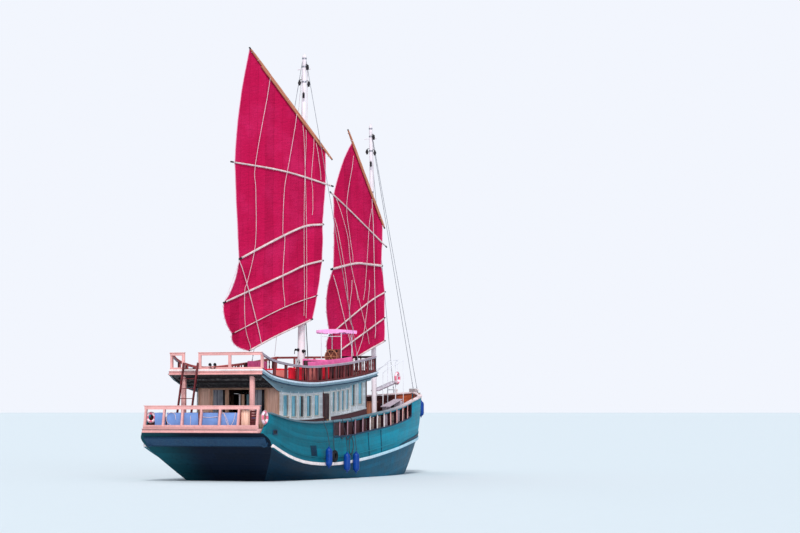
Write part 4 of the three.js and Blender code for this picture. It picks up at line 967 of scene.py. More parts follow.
def build_bulwarks():
    first = BAYS["aft"] + BAYS["post"] / 2
    last = BAYS["aft"] + BAYS["count"] * BAYS["pitch"] - BAYS["post"] / 2
    for name, side in SIDES:
        wall = dressed(f"bulwark_{name}", 0.008)
        mapped(wall, plank_place)
        coated(wall, "topside_paint", "inner_wood_shade_and_sun", "bay_shade_wood")

        def slot(centre, normal, s=side):
            # Inner faces: painted shade, with painted sunlight at the bow.
            if normal.y * s < -0.3:
                return 1
            inside = first - 0.02 < centre.x < last + 0.02
            # Faces inside the open bays take the near-black of painted shade.
            return 2 if inside and (abs(normal.x) > 0.6 or normal.z > 0.6) else 0

        faced(wall, slot)

        posts = []
        for k in range(BAYS["count"] + 1):
            x = BAYS["aft"] + k * BAYS["pitch"]
            top = level("cap", x)
            posts.append(bulwark_timber(f"bay_post_{k}", x, side, BAYS["post"] / 2 + 0.004,
                top - BAYS["drop"] + 0.012, top - 0.085, 0.008, -0.118, 0.012))
        line = cleaned(joined(f"bay_posts_{name}", posts), merge=0.00001)
        # The posts are near-black as painted shade, with strips of paint on their outer faces.
        put(smooth(line), "bay_shade_wood")

        def bay_place(a, drop, out, s=side):
            return bulwark_point(a, level("cap", a) - drop, s, out)

        for paint, places in (("post_wood", (0, 1, 2, 3)), ("trim_white", (4, 5, 6)),
                ("rail_paint", (7, 8, 9, 10))):
            strips = []
            for k in places:
                x = BAYS["aft"] + k * BAYS["pitch"]
                strips.append(filled("strip", (x - 0.05, 0.085), (x + 0.05, 0.715), 0.024, 0.004,
                    bay_place))
            put(joined(f"bay_strips_{paint}_{name}", strips), paint)
        blind_aft = BAYS["aft"] - 0.62
        blind = surface(f"blind_bay_{name}", 6, 2, lambda u, v:
            bay_place(blind_aft + 0.53 * u, 0.11 + 0.58 * v, 0.005))
        modified(blind, "SOLIDIFY", thickness=0.008, offset=-1 if side < 0 else 1)
        put(cleaned(blind), "cross_wood")

        # A rounded moulding round the open run
        def frame_edge(x, drop):
            return bulwark_point(x, level("cap", x) - drop, side, 0.004)

        aft_end = blind_aft - 0.03
        path = [frame_edge(aft_end, d) for d in spread(0.1, 0.56, 5)]
        path += [frame_edge(aft_end + 0.19 - 0.19 * math.cos(a), 0.56 + 0.19 * math.sin(a))
            for a in spread(0.2, math.pi / 2, 6)]
        path += [frame_edge(x, 0.75) for x in spread(aft_end + 0.5, last - 0.4, 24)]
        path += [frame_edge(last - 0.13 + 0.16 * math.cos(a), 0.62 + 0.13 * math.sin(a))
            for a in spread(math.pi / 2, 0.2, 6)]
        path += [frame_edge(last + 0.03, d) for d in spread(0.6, 0.1, 5)]
        put(sweep(f"bay_moulding_{name}", path, circle(0.034, 10), up=Y), "slate_paint")

        cap = dressed(f"cap_rail_{name}", 0.022, 3)
        mapped(cap, lambda c, n, s=side: (c.x, c.y * s + c.z * 0.3))
        put(cap, "cap_paint")
        # A timber inside the bulwark under the cap, and the frames that stiffen it, in the dark maroon of
        # painted shade
        put(sweep(f"shelf_{name}", [bulwark_point(x, level("cap", x) - 0.15, side, -0.135)
            for x in spread(-6.9, 12.0, 60)], slab(0.05, 0.11, 0.012)), "inner_wood_shade_and_sun")
        frames = [bulwark_timber(f"frame_{k}", x, side, 0.05, level("deck", x) + 0.001,
            level("cap", x) - 0.21, -0.111, -0.19, 0.008) for k, x in enumerate(spread(7.0, 11.4, 6))]
        group = cleaned(joined(f"bow_frames_{name}", frames), merge=0.00001)
        put(smooth(group), "inner_wood_shade_and_sun")


# Aft platform, its rail and its seat

def build_stern():
    platform = dressed("aft_platform", 0.01)
    mapped(platform, lambda c, n: (c.y, c.x) if abs(n.z) > 0.5 else (c.y, c.z))
    coated(platform, "rail_paint", "deck_planks", "dark_shade_paint")
    # The platform's underside is painted near-black: painted shadow.
    faced(platform, lambda c, n: 1 if n.z > 0.8 else 2 if n.z < -0.5 else 0)

    for k, (z, thick) in enumerate(((2.232, 0.03), (2.1, 0.04))):
        path = [(-10.856, y, z) for y in spread(-2.71, 2.71, 3)]
        put(sweep(f"fascia_bead_{k}", path, slab(0.022, thick, 0.006)), "rail_paint")
    # A groove painted near-black between the beads: painted shadow.
    put(sweep("fascia_groove", [(-10.853, y, 2.195) for y in spread(-2.7, 2.7, 3)],
        slab(0.012, 0.022, 0.003)), "dark_shade_paint")

    put(dressed("aft_rail", 0.014), "rail_paint")
    put(sweep("aft_rail_cap", [(-10.56, y, 3.212) for y in spread(-2.735, 2.735, 5)],
        slab(0.17, 0.03, 0.012)), "rail_paint")

    put(dressed("aft_bench", 0.012), "bench_wood")
    pads = []
    for k, (y0, y1) in enumerate(((-2.235, -1.27), (-1.26, -0.28), (-0.27, 0.685))):
        pads.append(cushion(f"seat_pad_{k + 1}", (-10.398, y0, 2.632), (-9.985, y1, 2.758), 0.028))
    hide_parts("aft_cushion")
    for k, pad in enumerate(pads):
        fitted(coated(pad, "blue_cushion", "piping"))
        if k:
            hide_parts("aft_cushion")
    build_bay_goods()

    for name, _ in SIDES:
        coated(dressed(f"overhang_post_{name}", 0.014), "rail_paint")
    put(dressed("ladder", 0.008), "baluster_wood")
    build_buoy("quarter_buoy", (-10.32, -2.815, 2.72), Y, 0.22)


def build_bay_goods():
    """Covers, rope and boards that stand inside the aft rail."""
    x = -10.505
    for k, (y0, y1) in enumerate(((1.75, 2.28), (1.02, 1.7), (0.2, 0.9), (-0.74, 0.1), (-1.74, -0.84))):
        cover = cushion(f"back_pad_{k + 1}", (x - 0.02, y0, 2.29), (x + 0.025, y1, 2.93), 0.01)
        fitted(coated(cover, "blue_cushion", "piping"))
    aft = x - 0.034
    loops = [[(-0.86, 2.92), (-1.02, 2.86), (-1.15, 2.5), (-1.3, 2.33), (-1.48, 2.6), (-1.56, 2.93)],
        [(-1.0, 2.94), (-1.18, 2.6), (-1.24, 2.36)], [(0.06, 2.75), (-0.3, 2.72), (-0.72, 2.75)],
        [(1.25, 2.62), (1.3, 2.86), (1.5, 2.93), (1.68, 2.78), (1.66, 2.52), (1.5, 2.4)],
        [(0.84, 2.4), (0.7, 2.36), (0.56, 2.4), (0.55, 2.8)]]
    lines = [sweep("loop", eased([(aft, y, z) for y, z in row], 5), circle(0.012, 8), up=X)
        for row in loops]
    put(joined("rail_ropes", lines), "white_rope")
    board = block("board", (x - 0.015, -2.13, 2.27), (x + 0.015, -1.82, 3.02), 0.006)
    frame_bar = block("bar", (x - 0.02, -2.2, 2.27), (x + 0.02, -2.15, 3.04), 0.006)
    put(joined("quarter_board", [board, frame_bar]), "panel_wood")
    slats = [block("slat", (x - 0.012, -2.54, z), (x + 0.012, -2.22, z + 0.075), 0.006)
        for z in spread(2.29, 2.93, 7)]
    slats += [block("edge", (x + 0.013, y - 0.02, 2.27), (x + 0.035, y + 0.02, 3.02), 0.004) for y in (-2.5,
        -2.26)]
    put(joined("quarter_slats", slats), "baluster_wood")
    build_buoy("port_buoy", (-10.4, 2.5, 2.72), X, 0.17)


def build_buoy(name, centre, axis, radius):
    """A ring buoy: banded ring and its grab line."""
    axis = Vector(axis)
    body = ring(f"{name}_ring", centre, axis, radius, radius * 0.27, 48, 14)
    coated(body, "buoy_skin", "red_skin")
    turn = Z.rotation_difference(axis).to_matrix()
    back = turn.transposed()
    start = Vector(centre)

    def band(c, n):
        place = back @ (c - start)
        return 1 if (math.degrees(math.atan2(place.y, place.x)) + 22) % 90 < 44 else 0

    faced(body, band)
    fitted(body)
    path = []
    for a in spread(0, math.tau, 33):
        out = radius * (1.31 + 0.09 * abs(math.sin(2 * a + math.pi / 4)))
        path.append(start + turn @ Vector((math.cos(a) * out, math.sin(a) * out, 0)))
    put(cord_line(f"{name}_line", path, 0.012, 6), "white_rope")


def cushion(name, low, high, round_off):
    """A crowned pad: sides drawn in between its corners, with a welt round its middle."""
    a, b = Vector(low), Vector(high)
    size, middle = b - a, (a + b) / 2
    bpy.ops.object.select_all(action="DESELECT")
    bpy.ops.mesh.primitive_cube_add(size=1)
    obj = added(name)
    only(obj)
    bpy.ops.object.mode_set(mode="EDIT")
    bpy.ops.mesh.select_all(action="SELECT")
    bpy.ops.mesh.subdivide(number_cuts=9)
    bpy.ops.object.mode_set(mode="OBJECT")
    thin = min(range(3), key=lambda k: size[k])
    wide = [k for k in range(3) if k != thin]
    for vertex in obj.data.vertices:
        p = vertex.co * 2
        crown = (1 - p[wide[0]] ** 4) * (1 - p[wide[1]] ** 4)
        q = p.copy()
        q[thin] = p[thin] * (0.66 + 0.34 * crown ** 0.5)
        lean = 1 - abs(p[thin])
        for k, other in (wide, wide[::-1]):
            pull = 0.018 * (1 - p[other] ** 2) / max(size[k], 0.2)
            if abs(p[k]) > 0.99:
                q[k] = p[k] * (1 - pull * 2 - (round_off / size[k]) * (1 - lean) ** 2)
        dimple = noise.noise(Vector((p.x * 2.1, p.y * 2.3, p.z)) + middle) * 0.05 * crown
        q[thin] += dimple if q[thin] > 0 else 0
        vertex.co = middle + Vector([q[k] * size[k] / 2 for k in range(3)])
    modified(obj, "SUBSURF", levels=1, render_levels=1)
    welt = []
    for angle in spread(0, math.tau, 41):
        c, s = math.cos(angle), math.sin(angle)
        reach = 1 / max(abs(c), abs(s)) ** 0.86
        place = middle.copy()
        place[wide[0]] += c * reach * size[wide[0]] * 0.485
        place[wide[1]] += s * reach * size[wide[1]] * 0.485
        place[thin] += size[thin] * 0.22
        welt.append(place)
    up = Vector([1 if k == thin else 0 for k in range(3)])
    seam = sweep(f"{name}_welt", welt, circle(0.008, 6), up=up)
    faces = len(obj.data.polygons)
    whole = joined(name, [obj, seam])
    for index, polygon in enumerate(whole.data.polygons):
        polygon.material_index = 0 if index < faces else 1
    return smooth(whole, 60)


# Deck house: walls, sashes and doors

HOUSE_AFT, HOUSE_FORE = -7.0, 1.7
DOOR_HINGE = -3.01
# Side windows: place along, width, drop of head and sill below the upper deck, share its sash fills
SIDE_WINDOWS = [
    (-6.55, 0.46, 0.6, 1.5, 0.72), (-5.85, 0.46, 0.6, 1.5, 0.74), (-5.15, 0.46, 0.6, 1.5, 0.36),
    (-4.45, 0.46, 0.6, 1.5, 0.6), (-3.7, 0.46, 0.6, 1.5, 0.96), (-1.9, 0.3, 0.57, 1.45, 0.5),
    (-1.4, 0.3, 0.57, 1.45, 0.6), (-0.9, 0.3, 0.57, 1.45, 0.6), (-0.4, 0.3, 0.57, 1.45, 0.62),
    (0.25, 0.42, 0.34, 1.35, 0.5), (1.05, 0.46, 0.34, 1.35, 0.8),
]
# Windows of the end walls: place across, width, sill, head, share the sash fills
AFT_WINDOWS = [(-0.95, 0.6, 2.85, 3.92, 0.8), (0.95, 0.6, 2.85, 3.92, 0.74)]
FORE_WINDOWS = [
    (-1.45, 0.8, 3.2, 4.1, 0.98), (-0.5, 0.6, 3.2, 4.1, 0.98), (0.5, 0.6, 3.2, 4.1, 0.98),
    (1.45, 0.8, 3.2, 4.1, 0.98),
]


def border(name, low, high, wide, front, back, place):
    """A frame of four bars. Place turns along, up and out into a point."""
    (a0, z0), (a1, z1) = low, high
    outer = [(a0, z0), (a1, z0), (a1, z1), (a0, z1)]
    inner = [(a0 + wide, z0 + wide), (a1 - wide, z0 + wide), (a1 - wide, z1 - wide), (a0 + wide, z1 - wide)]
    section = [(outer, front), (inner, front), (inner, back), (outer, back)]

    def corner_at(u, v):
        which, out = section[round(v * 4) % 4]
        a, z = which[round(u * 4) % 4]
        return place(a, z, out)

    return smooth(rounded(cleaned(surface(name, 4, 4, corner_at)), 0.004))


def filled(name, low, high, front, back, place):
    """A board or pane between two corners."""
    obj = block(name, (0, 0, 0), (1, 1, 1))
    for vertex in obj.data.vertices:
        x, y, z = vertex.co
        vertex.co = place(low[0] + (high[0] - low[0]) * x, low[1] + (high[1] - low[1]) * z,
            front if y > 0.5 else back)
    return smooth(rounded(cleaned(obj), 0.003))


def build_windows(name, rows, place, wall, trim_paint, sash_paint, glass):
    """Architraves, a sash over part of each opening, its pane, and near-black glass behind as painted shade
    of the room inside.
    """
    trims, sashes, panes, darks = [], [], [], []
    for centre, wide, low, high, slide in rows:
        a0, a1 = centre - wide / 2, centre + wide / 2
        trims.append(border("trim", (a0 - 0.03, low - 0.04), (a1 + 0.03, high + 0.04), 0.034, 0.016, -0.02,
            place))
        end = a0 + 0.008 + (wide - 0.016) * slide
        sashes.append(border("sash", (a0 + 0.008, low + 0.008), (end, high - 0.008), 0.03, -0.006, -0.03,
            place))
        if wide > 0.4:
            middle = (a0 + end) / 2
            sashes.append(filled("bar", (middle - 0.01, low + 0.03), (middle + 0.01, high - 0.03), -0.008,
                -0.024, place))
        panes.append(filled("pane", (a0 + 0.034, low + 0.034), (end - 0.026, high - 0.034), -0.016, -0.026,
            place))
        darks.append(filled("inner", (a0 + 0.002, low + 0.002), (a1 - 0.002, high - 0.002), -0.05, -0.062,
            place))
    for kind, made, one in (("trim", trims, trim_paint), ("sashes", sashes, sash_paint)):
        put(joined(f"{name}_{kind}", made), one)
    # The near-black panes behind the openings are painted shade.
    for kind, made, one in (("panes", panes, glass), ("interior_shade_panes", darks, "dark_glass_and_shade")):
        put(joined(f"{name}_{kind}", made), one, replaces=[f"cabin_glass_{wall}"])


def build_house():
    for name, side in SIDES:
        wall = dressed(f"cabin_wall_{name}", 0.006)
        mapped(wall, lambda c, n: (c.x, c.z))
        coated(wall, "house_paint", "panel_wood")
        faced(wall, lambda c, n, s=side: 1 if n.y * s < -0.5 else 0)

        def place(a, z, out, s=side):
            return Vector((a, s * (house_half(a) + out), z))

        rows = [(x, wide, level("upper", x) - low, level("upper", x) - top, slide)
            for x, wide, top, low, slide in SIDE_WINDOWS]
        build_windows(f"side_windows_{name}", rows, place, name, "sash_paint", "sash_teal", "window_glass")
        # Sill, waist mouldings, and the posts between the windows
        sill = []
        for start, end in ((-6.98, -3.06), (-2.32, 1.68)):
            for drop, thick in ((1.62, 0.05), (0.5, 0.035)):
                if start > -3 and drop < 1:
                    drop = 0.3
                path = [place(x, level("upper", x) - drop, 0.012) for x in spread(start, end, 14)]
                sill.append(sweep("sill", path, slab(0.05, thick, 0.01)))
        for x in (-6.97, -6.2, -5.5, -4.8, -4.08, -2.3, -1.65, -1.15, -0.65, -0.12, 0.62):
            low = level("upper", x) - (1.6 if x < -3 or x > -2.2 else 1.9)
            path = [place(x, z, 0.008) for z in (low, (low + level("upper", x)) / 2,
                level("upper", x) - 0.3)]
            sill.append(sweep("stile", path, slab(0.07, 0.03, 0.008), up=X))
        put(joined(f"house_mouldings_{name}", sill), "house_paint")
        skirts = []
        for start, end in ((-6.98, -3.07), (-2.31, 1.69)):
            def skirt(u, v, a=start, b=end):
                x = a + (b - a) * u
                low, high = level("deck", x) + 0.002, level("upper", x) - 1.655
                out, z = [(0.002, low), (0.014, low), (0.014, high), (0.002, high)][round(v * 4) % 4]
                return place(x, z, out)
            skirts.append(smooth(cleaned(surface("skirt", 24, 4, skirt), fill=True)))
        for x in (-3.05, 1.69):
            path = [place(x, z, 0.014) for z in (level("upper", x) - 1.9, level("upper", x) - 1.1,
                level("upper", x) - 0.3)]
            skirts.append(sweep("edge", path, slab(0.06, 0.03, 0.008), up=X))
        put(joined(f"house_skirting_{name}", skirts), "skirting_paint")

        coated(dressed(f"side_door_{name}", 0.006), "door_wood")
        x0, x1 = DOOR_HINGE + 0.008, DOOR_HINGE + 0.632
        face = house_half(-2.37) - 0.002
        low, high = level("deck", -2.37) + 0.07, level("upper", DOOR_HINGE) - 0.57

        def on_door(a, z, out, s=side, y=face):
            return Vector((a, s * (y + out), z))

        panels = [border("panel", (x0 + 0.08, low + foot), (x1 - 0.08, top), 0.03, 0.01, -0.004, on_door)
            for foot, top in ((0.12, low + 0.9), (1.0, high - 0.1))]
        knob = turned("knob", [(0.001, 0.05), (0.02, 0.045), (0.024, 0.03), (0.01, 0.015), (0.012, 0),
            (0.022, -0.002)], (x0 + 0.06, side * face, low + 0.95), (0, side, 0), 14)
        body = BODY_OF[f"side_door_{name}"]
        put(joined(f"door_panels_{name}", panels), "door_wood", body)
        put(knob, "bronze", body)
        put(border(f"door_jamb_{name}", (DOOR_HINGE - 0.05, low - 0.02), (DOOR_HINGE + 0.69, high + 0.07),
            0.046, 0.014, -0.002, place), "sash_paint")

    coated(dressed("cabin_wall_aft", 0.006), "panel_wood")

    def aft_place(a, z, out):
        return Vector((HOUSE_AFT - out, -a, z))

    build_windows("aft_windows", AFT_WINDOWS, aft_place, "aft", "tan_frame", "saloon_glass", "saloon_glass")
    battens = []
    for a in (-1.93, -1.34, 1.34, 1.93, -0.55, 0.55):
        battens.append(sweep("stile", [aft_place(a, z, 0.01) for z in (2.26, 3.1, 4.03)],
            slab(0.09, 0.03, 0.008), up=Y))
    for low, high in ((2.27, 2.42), (3.96, 4.06)):
        for a0, a1 in ((-1.9, -0.55), (0.55, 1.9)):
            z = (low + high) / 2
            battens.append(sweep("rail", [aft_place(a, z, 0.006) for a in spread(a0, a1, 3)],
                slab(0.026, high - low, 0.006)))
    put(joined("aft_wall_stiles", battens), "tan_frame")
    for name, side in SIDES:
        put(border(f"aft_panel_{name}", (side * 1.64 - 0.22, 2.5), (side * 1.64 + 0.22, 3.86), 0.03, 0.014,
            -0.002, aft_place), "panel_wood")
    put(border("aft_door_frame", (-0.56, 2.2), (0.56, 3.98), 0.056, 0.018, -0.004, aft_place), "tan_frame")
    # A folded screen just inside the doorway
    for k, (y, wide, paint) in enumerate(((0.04, 0.07, "trim_white"), (-0.12, 0.14, "tan_frame"),
            (-0.36, 0.12, "sash_teal"))):
        leaf = block(f"screen_{k}", (-6.84, y - wide / 2, 2.2503), (-6.815, y + wide / 2, 3.72), 0.006)
        knobs = turned("knob", [(0.001, -0.02), (0.012, -0.018), (0.008, 0.0)],
            (-6.84, y + wide / 2 - 0.02, 3.1), X, 10)
        put(joined(f"doorway_screen_{k + 1}", [leaf, knobs]), paint)

    fore = dressed("cabin_wall_fore", 0.006)
    mapped(fore, lambda c, n: (c.y, c.z))
    coated(fore, "house_paint", "panel_wood")
    faced(fore, lambda c, n: 1 if n.x < -0.5 else 0)

    def fore_place(a, z, out):
        return Vector((HOUSE_FORE + out, a, z))

    build_windows("fore_windows", FORE_WINDOWS, fore_place, "fore", "sash_paint", "sash_teal",
        "window_glass")
    # Corner posts in the same near-black paint of painted shade.
    edge = [sweep("corner", [Vector((1.705, s * 2.27, z)) for z in (2.05, 3.2, 4.52)],
        slab(0.09, 0.07, 0.012), up=X) for s in (-1, 1)]
    put(joined("fore_corner_posts", edge), "dark_shade_paint")

    coated(dressed("aft_door", 0.006), "panel_wood")
    put(filled("aft_door_pane", (-1.515, 2.715), (-0.665, 3.825), 0.0, -0.008,
        lambda a, z, out: Vector((-6.8885 - out, -a, z))), "window_glass", "aft_door_leaf")
    coated(dressed("aft_door_track", 0.004), "door_wood")


# Upper deck, its edge and its rails

# The rail cap's height above the upper deck, and how far in from its edge
RAIL_TOP, RAIL_INSET = 0.71, 0.09


def build_upper_deck():
    deck = dressed("upper_deck", 0.01)
    mapped(deck, lambda c, n: (c.x, c.y))
    coated(deck, "frieze_paint", "deck_planks", "dark_shade_paint", "rail_paint")

    def slot(c, n):
        if n.z > 0.7:
            return 1
        # The upper deck's underside is painted near-black: painted shade.
        if n.z < -0.7:
            return 2
        return 3 if n.x < -0.7 else 0

    faced(deck, slot)
    xs = spread(-9.33, 2.33, 60)
    for name, side in SIDES:
        def edge(x, out, up, s=side):
            return Vector((x, s * (breadth("upper", x) + out), level("upper", x) + up))

        put(sweep(f"deck_nosing_{name}", [edge(x, 0.012, -0.045) for x in xs], slab(0.07, 0.085, 0.026)),
            "nosing_paint")
        put(sweep(f"deck_bead_{name}", [edge(x, 0.008, -0.2) for x in xs], slab(0.05, 0.05, 0.018)),
            "slate_paint")

        def frieze(u, v, s=side):
            x = -9.18 + 11.4 * u
            wall = house_half(max(x, -7)) + 0.02
            top = breadth("upper", x) - 0.03
            share = min(max((x + 9.2) / 2.2, 0), 1)
            share = share * share * (3 - 2 * share)
            reach = top - 0.06 - (top - 0.06 - wall) * share
            deep = 0.03 + 0.22 * share * (0.6 if x > -0.2 else 1)
            z = level("upper", x) - 0.243
            k = round(v * 12) % 12
            steps = 5
            if k <= steps:
                t = k / steps
                y = top + (reach - top) * math.sin(t * math.pi / 2)
                drop = deep * (1 - math.cos(t * math.pi / 2))
            else:
                t = (11 - k) / steps
                y = min(top - 0.03 + (reach - 0.02 - top + 0.03) * t, top - 0.03)
                drop = deep if k == 6 else 0.0
            return Vector((x, s * y, z - drop))

        put(smooth(cleaned(surface(f"frieze_{name}", 60, 12, frieze), fill=True), 50), "frieze_paint")

        rail = dressed(f"upper_rail_{name}", 0.01)
        coated(rail, "baluster_wood", "rail_grey_weathered_and_shaded", "rail_paint", "cross_wood", "port_rail")

        def rail_slot(c, n, s=side):
            if c.x < -9.12:
                return 2
            if c.x > 2.13:
                return 3 if s < 0 else 4
            if s > 0 and n.y < -0.5:
                return 4
            # The top bar takes the grey that is partly weathering and partly painted shade.
            return 1 if c.z > level("upper", c.x) + 0.6 else 0

        faced(rail, rail_slot)
        # The starboard cap is the grey of weathering and painted shade.
        top = sweep(f"upper_rail_cap_{name}", [Vector((x, side * (breadth("upper", x) - RAIL_INSET),
            level("upper", x) + RAIL_TOP)) for x in spread(-9.27, 2.27, 50)], slab(0.15, 0.036, 0.014))
        put(top, "rail_grey_weathered_and_shaded" if side < 0 else "port_rail")
        pitch = (11.5 - 0.16) / 12
        spots = []
        for k in range(3, 12):
            x = -9.17 + pitch * (k + 0.5)
            for dx in (-0.15, 0.15) if k > 6 else (0.0,):
                spots.append(((x + dx, side * (breadth("upper", x + dx) - RAIL_INSET)), x + dx))
        ahead = 2.21
        for y in (0.28, 0.83, 1.12, 1.36, 1.8, 2.05, 2.28) if side < 0 else ():
            spots.append(((ahead, side * y), ahead))
        profile = [(0.036, 0.03), (0.036, 0.12), (0.024, 0.16), (0.04, 0.3), (0.024, 0.46), (0.036, 0.52),
            (0.036, 0.66)]
        extra = [turned("baluster", profile, (*spot, level("upper", x)), Z, 8) for spot, x in spots]
        put(joined(f"balusters_{name}", extra), "baluster_wood")
        y0, y1 = (-2.19, 0.84) if side < 0 else (1.49, 2.19)
        put(sweep(f"end_rail_cap_{name}", [(-9.235, y, 5.492) for y in spread(y0, y1, 3)],
            slab(0.12, 0.03, 0.01)), "rail_paint")
        z = level("upper", ahead) + RAIL_TOP
        put(sweep(f"fore_rail_cap_{name}", [(ahead, side * y, z) for y in spread(0.0, 2.5, 5)],
            slab(0.13, 0.034, 0.012)), "cross_wood" if side < 0 else "port_rail")

    for k, (z, thick, paint) in enumerate(((4.74, 0.085, "trim_white"), (4.665, 0.03, "rail_paint"),
            (4.565, 0.05, "rail_paint"))):
        path = [(-9.31, y, z) for y in spread(-2.225, 2.225, 5)]
        put(sweep(f"end_nosing_{k}", path, slab(0.05, thick, 0.012)), paint)
    # Beams under the overhang, painted near-black as painted shade.
    beams = [block(f"beam_{k}", (x - 0.04, -2.0 if x > -7.1 else -breadth("upper", x) + 0.3,
        level("upper", x) - 0.33), (x + 0.04, 2.0 if x > -7.1 else breadth("upper", x) - 0.3,
        level("upper", x) - 0.242), 0.008) for k, x in enumerate((-8.9, -8.3, -7.7, -7.2))]
    put(joined("overhang_beams", beams), "dark_shade_paint")
    build_floodlights()


def build_floodlights():
    """Two lamps on the upper deck's aft edge."""
    middle = 0.115
    for k, y in enumerate((middle + 0.115, middle - 0.115)):
        centre = Vector((-9.35, y, 4.97))
        axis = Vector((-0.9, 0, 0.25)).normalized()
        put(turned(f"lamp_{k + 1}", [(0.022, -0.1), (0.045, -0.08), (0.064, -0.016), (0.072, 0.018),
            (0.066, 0.02), (0.06, 0.005)], centre, axis, 20), "dark_fittings")
        put(turned(f"lamp_glass_{k + 1}", [(0.001, 0.01), (0.04, 0.008), (0.062, 0.0), (0.062, -0.008)],
            centre, axis, 20), "dark_glass_and_shade")
    bends = ((0.12, 4.95), (0.09, 4.82), (0.0, 4.78), (-0.09, 4.82), (-0.12, 4.95))
    put(sweep("lamp_bracket", [(-9.3, middle + dy, z) for dy, z in bends], slab(0.02, 0.03, 0.004), up=X),
        "dark_fittings")


def build_lounge():
    coated(dressed("upper_bench", 0.012), "door_wood")
    z0, z1 = 4.7803, 4.91
    inner, outer = 1.85, 2.255

    def run(start, end, count, gap=0.01):
        step = (end - start) / count
        return [(start + step * k + gap / 2, start + step * (k + 1) - gap / 2) for k in range(count)]

    seats = [((x0, -outer, z0), (x1, -inner, z1)) for x0, x1 in run(-5.125, -0.075, 6)]
    seats += [((x0, inner, z0), (x1, outer, z1)) for x0, x1 in run(-2.425, 0.475, 3)]
    seats += [((-2.425, y0, z0), (-1.905, y1, z1)) for y0, y1 in run(-1.845, 1.845, 4)]
    backs = [((x0, -outer, 4.915), (x1, 0.1 - outer, 5.28)) for x0, x1 in run(-5.125, -0.075, 6)]
    backs += [((x0, outer - 0.1, 4.915), (x1, outer, 5.28)) for x0, x1 in run(-1.5, 0.475, 2)]
    for kind, rows, paint in (("seat", seats, "red_cushion"), ("back", backs, "pink_cushion")):
        for k, (low, high) in enumerate(rows):
            pad = cushion(f"lounge_{kind}_{k + 1}", low, high, 0.03)
            fitted(coated(pad, paint, paint),
                replaces=["upper_cushion"] if kind == "seat" else ())
    covers = 0
    for x0, x1, low, high, paint in ((-5.18, -4.12, 0.08, 0.62, "salmon_cover"),
            (-4.9, -0.04, 0.63, 0.91, "pink_cushion"), (-3.42, -2.62, 0.08, 0.62, "red_cushion")):
        covers += 1

        def hung(u, v, a=x0, b=x1, c=low, d=high):
            x = a + (b - a) * u
            ripple = 0.008 * math.sin(x * 9 + a) * (1 - v)
            return Vector((x, -2.337 - abs(ripple), level("upper", x) + c + (d - c) * v))
        cover = surface(f"lounge_cover_{covers}", 24, 10, hung)
        modified(cover, "SOLIDIFY", thickness=0.014, offset=1)
        put(smooth(cover, 60), paint)
    for y0, y1, paint in ((1.15, 1.8, "salmon_cover"), (0.45, 1.14, "piping"), (-0.1, 0.44, "salmon_cover"),
            (-0.8, -0.11, "piping"), (-1.8, -0.81, "piping")):
        covers += 1

        def draped(u, v, a=y0, b=y1):
            y = a + (b - a) * u
            ripple = 0.01 * abs(math.sin(y * 8 + a)) * (1 - v)
            return Vector((-2.507 - ripple, y, level("upper", -2.5) + 0.04 + 0.42 * v))
        cover = surface(f"lounge_cover_{covers}", 24, 10, draped)
        modified(cover, "SOLIDIFY", thickness=0.012, offset=-1)
        put(smooth(cleaned(cover), 60), paint)
    for k, (x0, x1) in enumerate(((-6.78, -6.13), (-6.11, -5.42))):
        x = (x0 + x1) / 2
        foot = level("upper", x) + 0.012
        face = breadth("upper", x0) - 0.19
        pad = cushion(f"stowed_cushion_{k + 1}", (x0, -face, foot), (x1, 0.13 - face, foot + 0.6), 0.03)
        fitted(coated(pad, "red_cushion", "red_cushion"))


# Helm and awning

def build_helm():
    coated(dressed("helm_console", 0.018, 3), "bench_wood")
    x, y = 1.45, -0.75
    base = level("upper", x)
    low, high = (x - 0.12, base + 0.14), (x + 0.13, base + 0.84)
    panels = [
        border("panel", (y - 0.26, base + 0.16), (y + 0.26, base + 0.55), 0.03, 0.014, 0.0,
            lambda a, z, out: Vector((x - 0.17 - out, a, z))),
        border("panel", low, high, 0.03, 0.012, 0.0, lambda a, z, out: Vector((a, y - 0.33 - out, z))),
        border("panel", low, high, 0.03, 0.012, 0.0, lambda a, z, out: Vector((a, y + 0.33 + out, z))),
    ]
    put(joined("helm_panels", panels), "bench_wood")
    dials = []
    for k, dy in enumerate((-0.18, 0.0, 0.18)):
        dials.append(turned("dial", [(0.001, 0.008), (0.045, 0.007), (0.05, 0.014), (0.06, 0.012),
            (0.062, -0.002)], (x - 0.041, y + dy, base + 1.02), (-1, 0, 0), 20))
    put(joined("helm_dials", dials), "dark_fittings")

    hub = Vector((x - 0.2803, y, base + 0.78))
    parts = [ring("rim", hub, X, 0.3, 0.019, 48, 10), turned("hub",
        [(0.001, -0.034), (0.03, -0.032), (0.05, -0.02), (0.055, 0), (0.05, 0.02), (0.03, 0.04),
        (0.03, 0.105)], hub, X, 20)]
    for k in range(6):
        angle = math.tau * k / 6
        axis = Vector((0, math.cos(angle), math.sin(angle)))
        parts.append(turned("spoke", [(0.013, 0.03), (0.011, 0.08), (0.017, 0.13), (0.011, 0.2),
            (0.015, 0.27), (0.015, 0.32), (0.011, 0.33), (0.016, 0.345), (0.012, 0.368), (0.002, 0.372)],
            hub, axis, 10))
    put(joined("wheel_spoked", parts), "spar_wood", BODY_OF["helm_wheel"],
        replaces=["helm_wheel"])

    build_awning()


AWNING = dict(aft=0.88, fore=2.1, y0=-1.6, y1=-0.2, legs=(-1.4, -0.4), top=6.68, rise=0.045,
              over=0.04, tube=0.02, valance=0.19)


def awning_rise(y):
    a = AWNING
    t = min(max((y - a["y0"]) / (a["y1"] - a["y0"]), 0), 1)
    return a["rise"] * 4 * t * (1 - t)


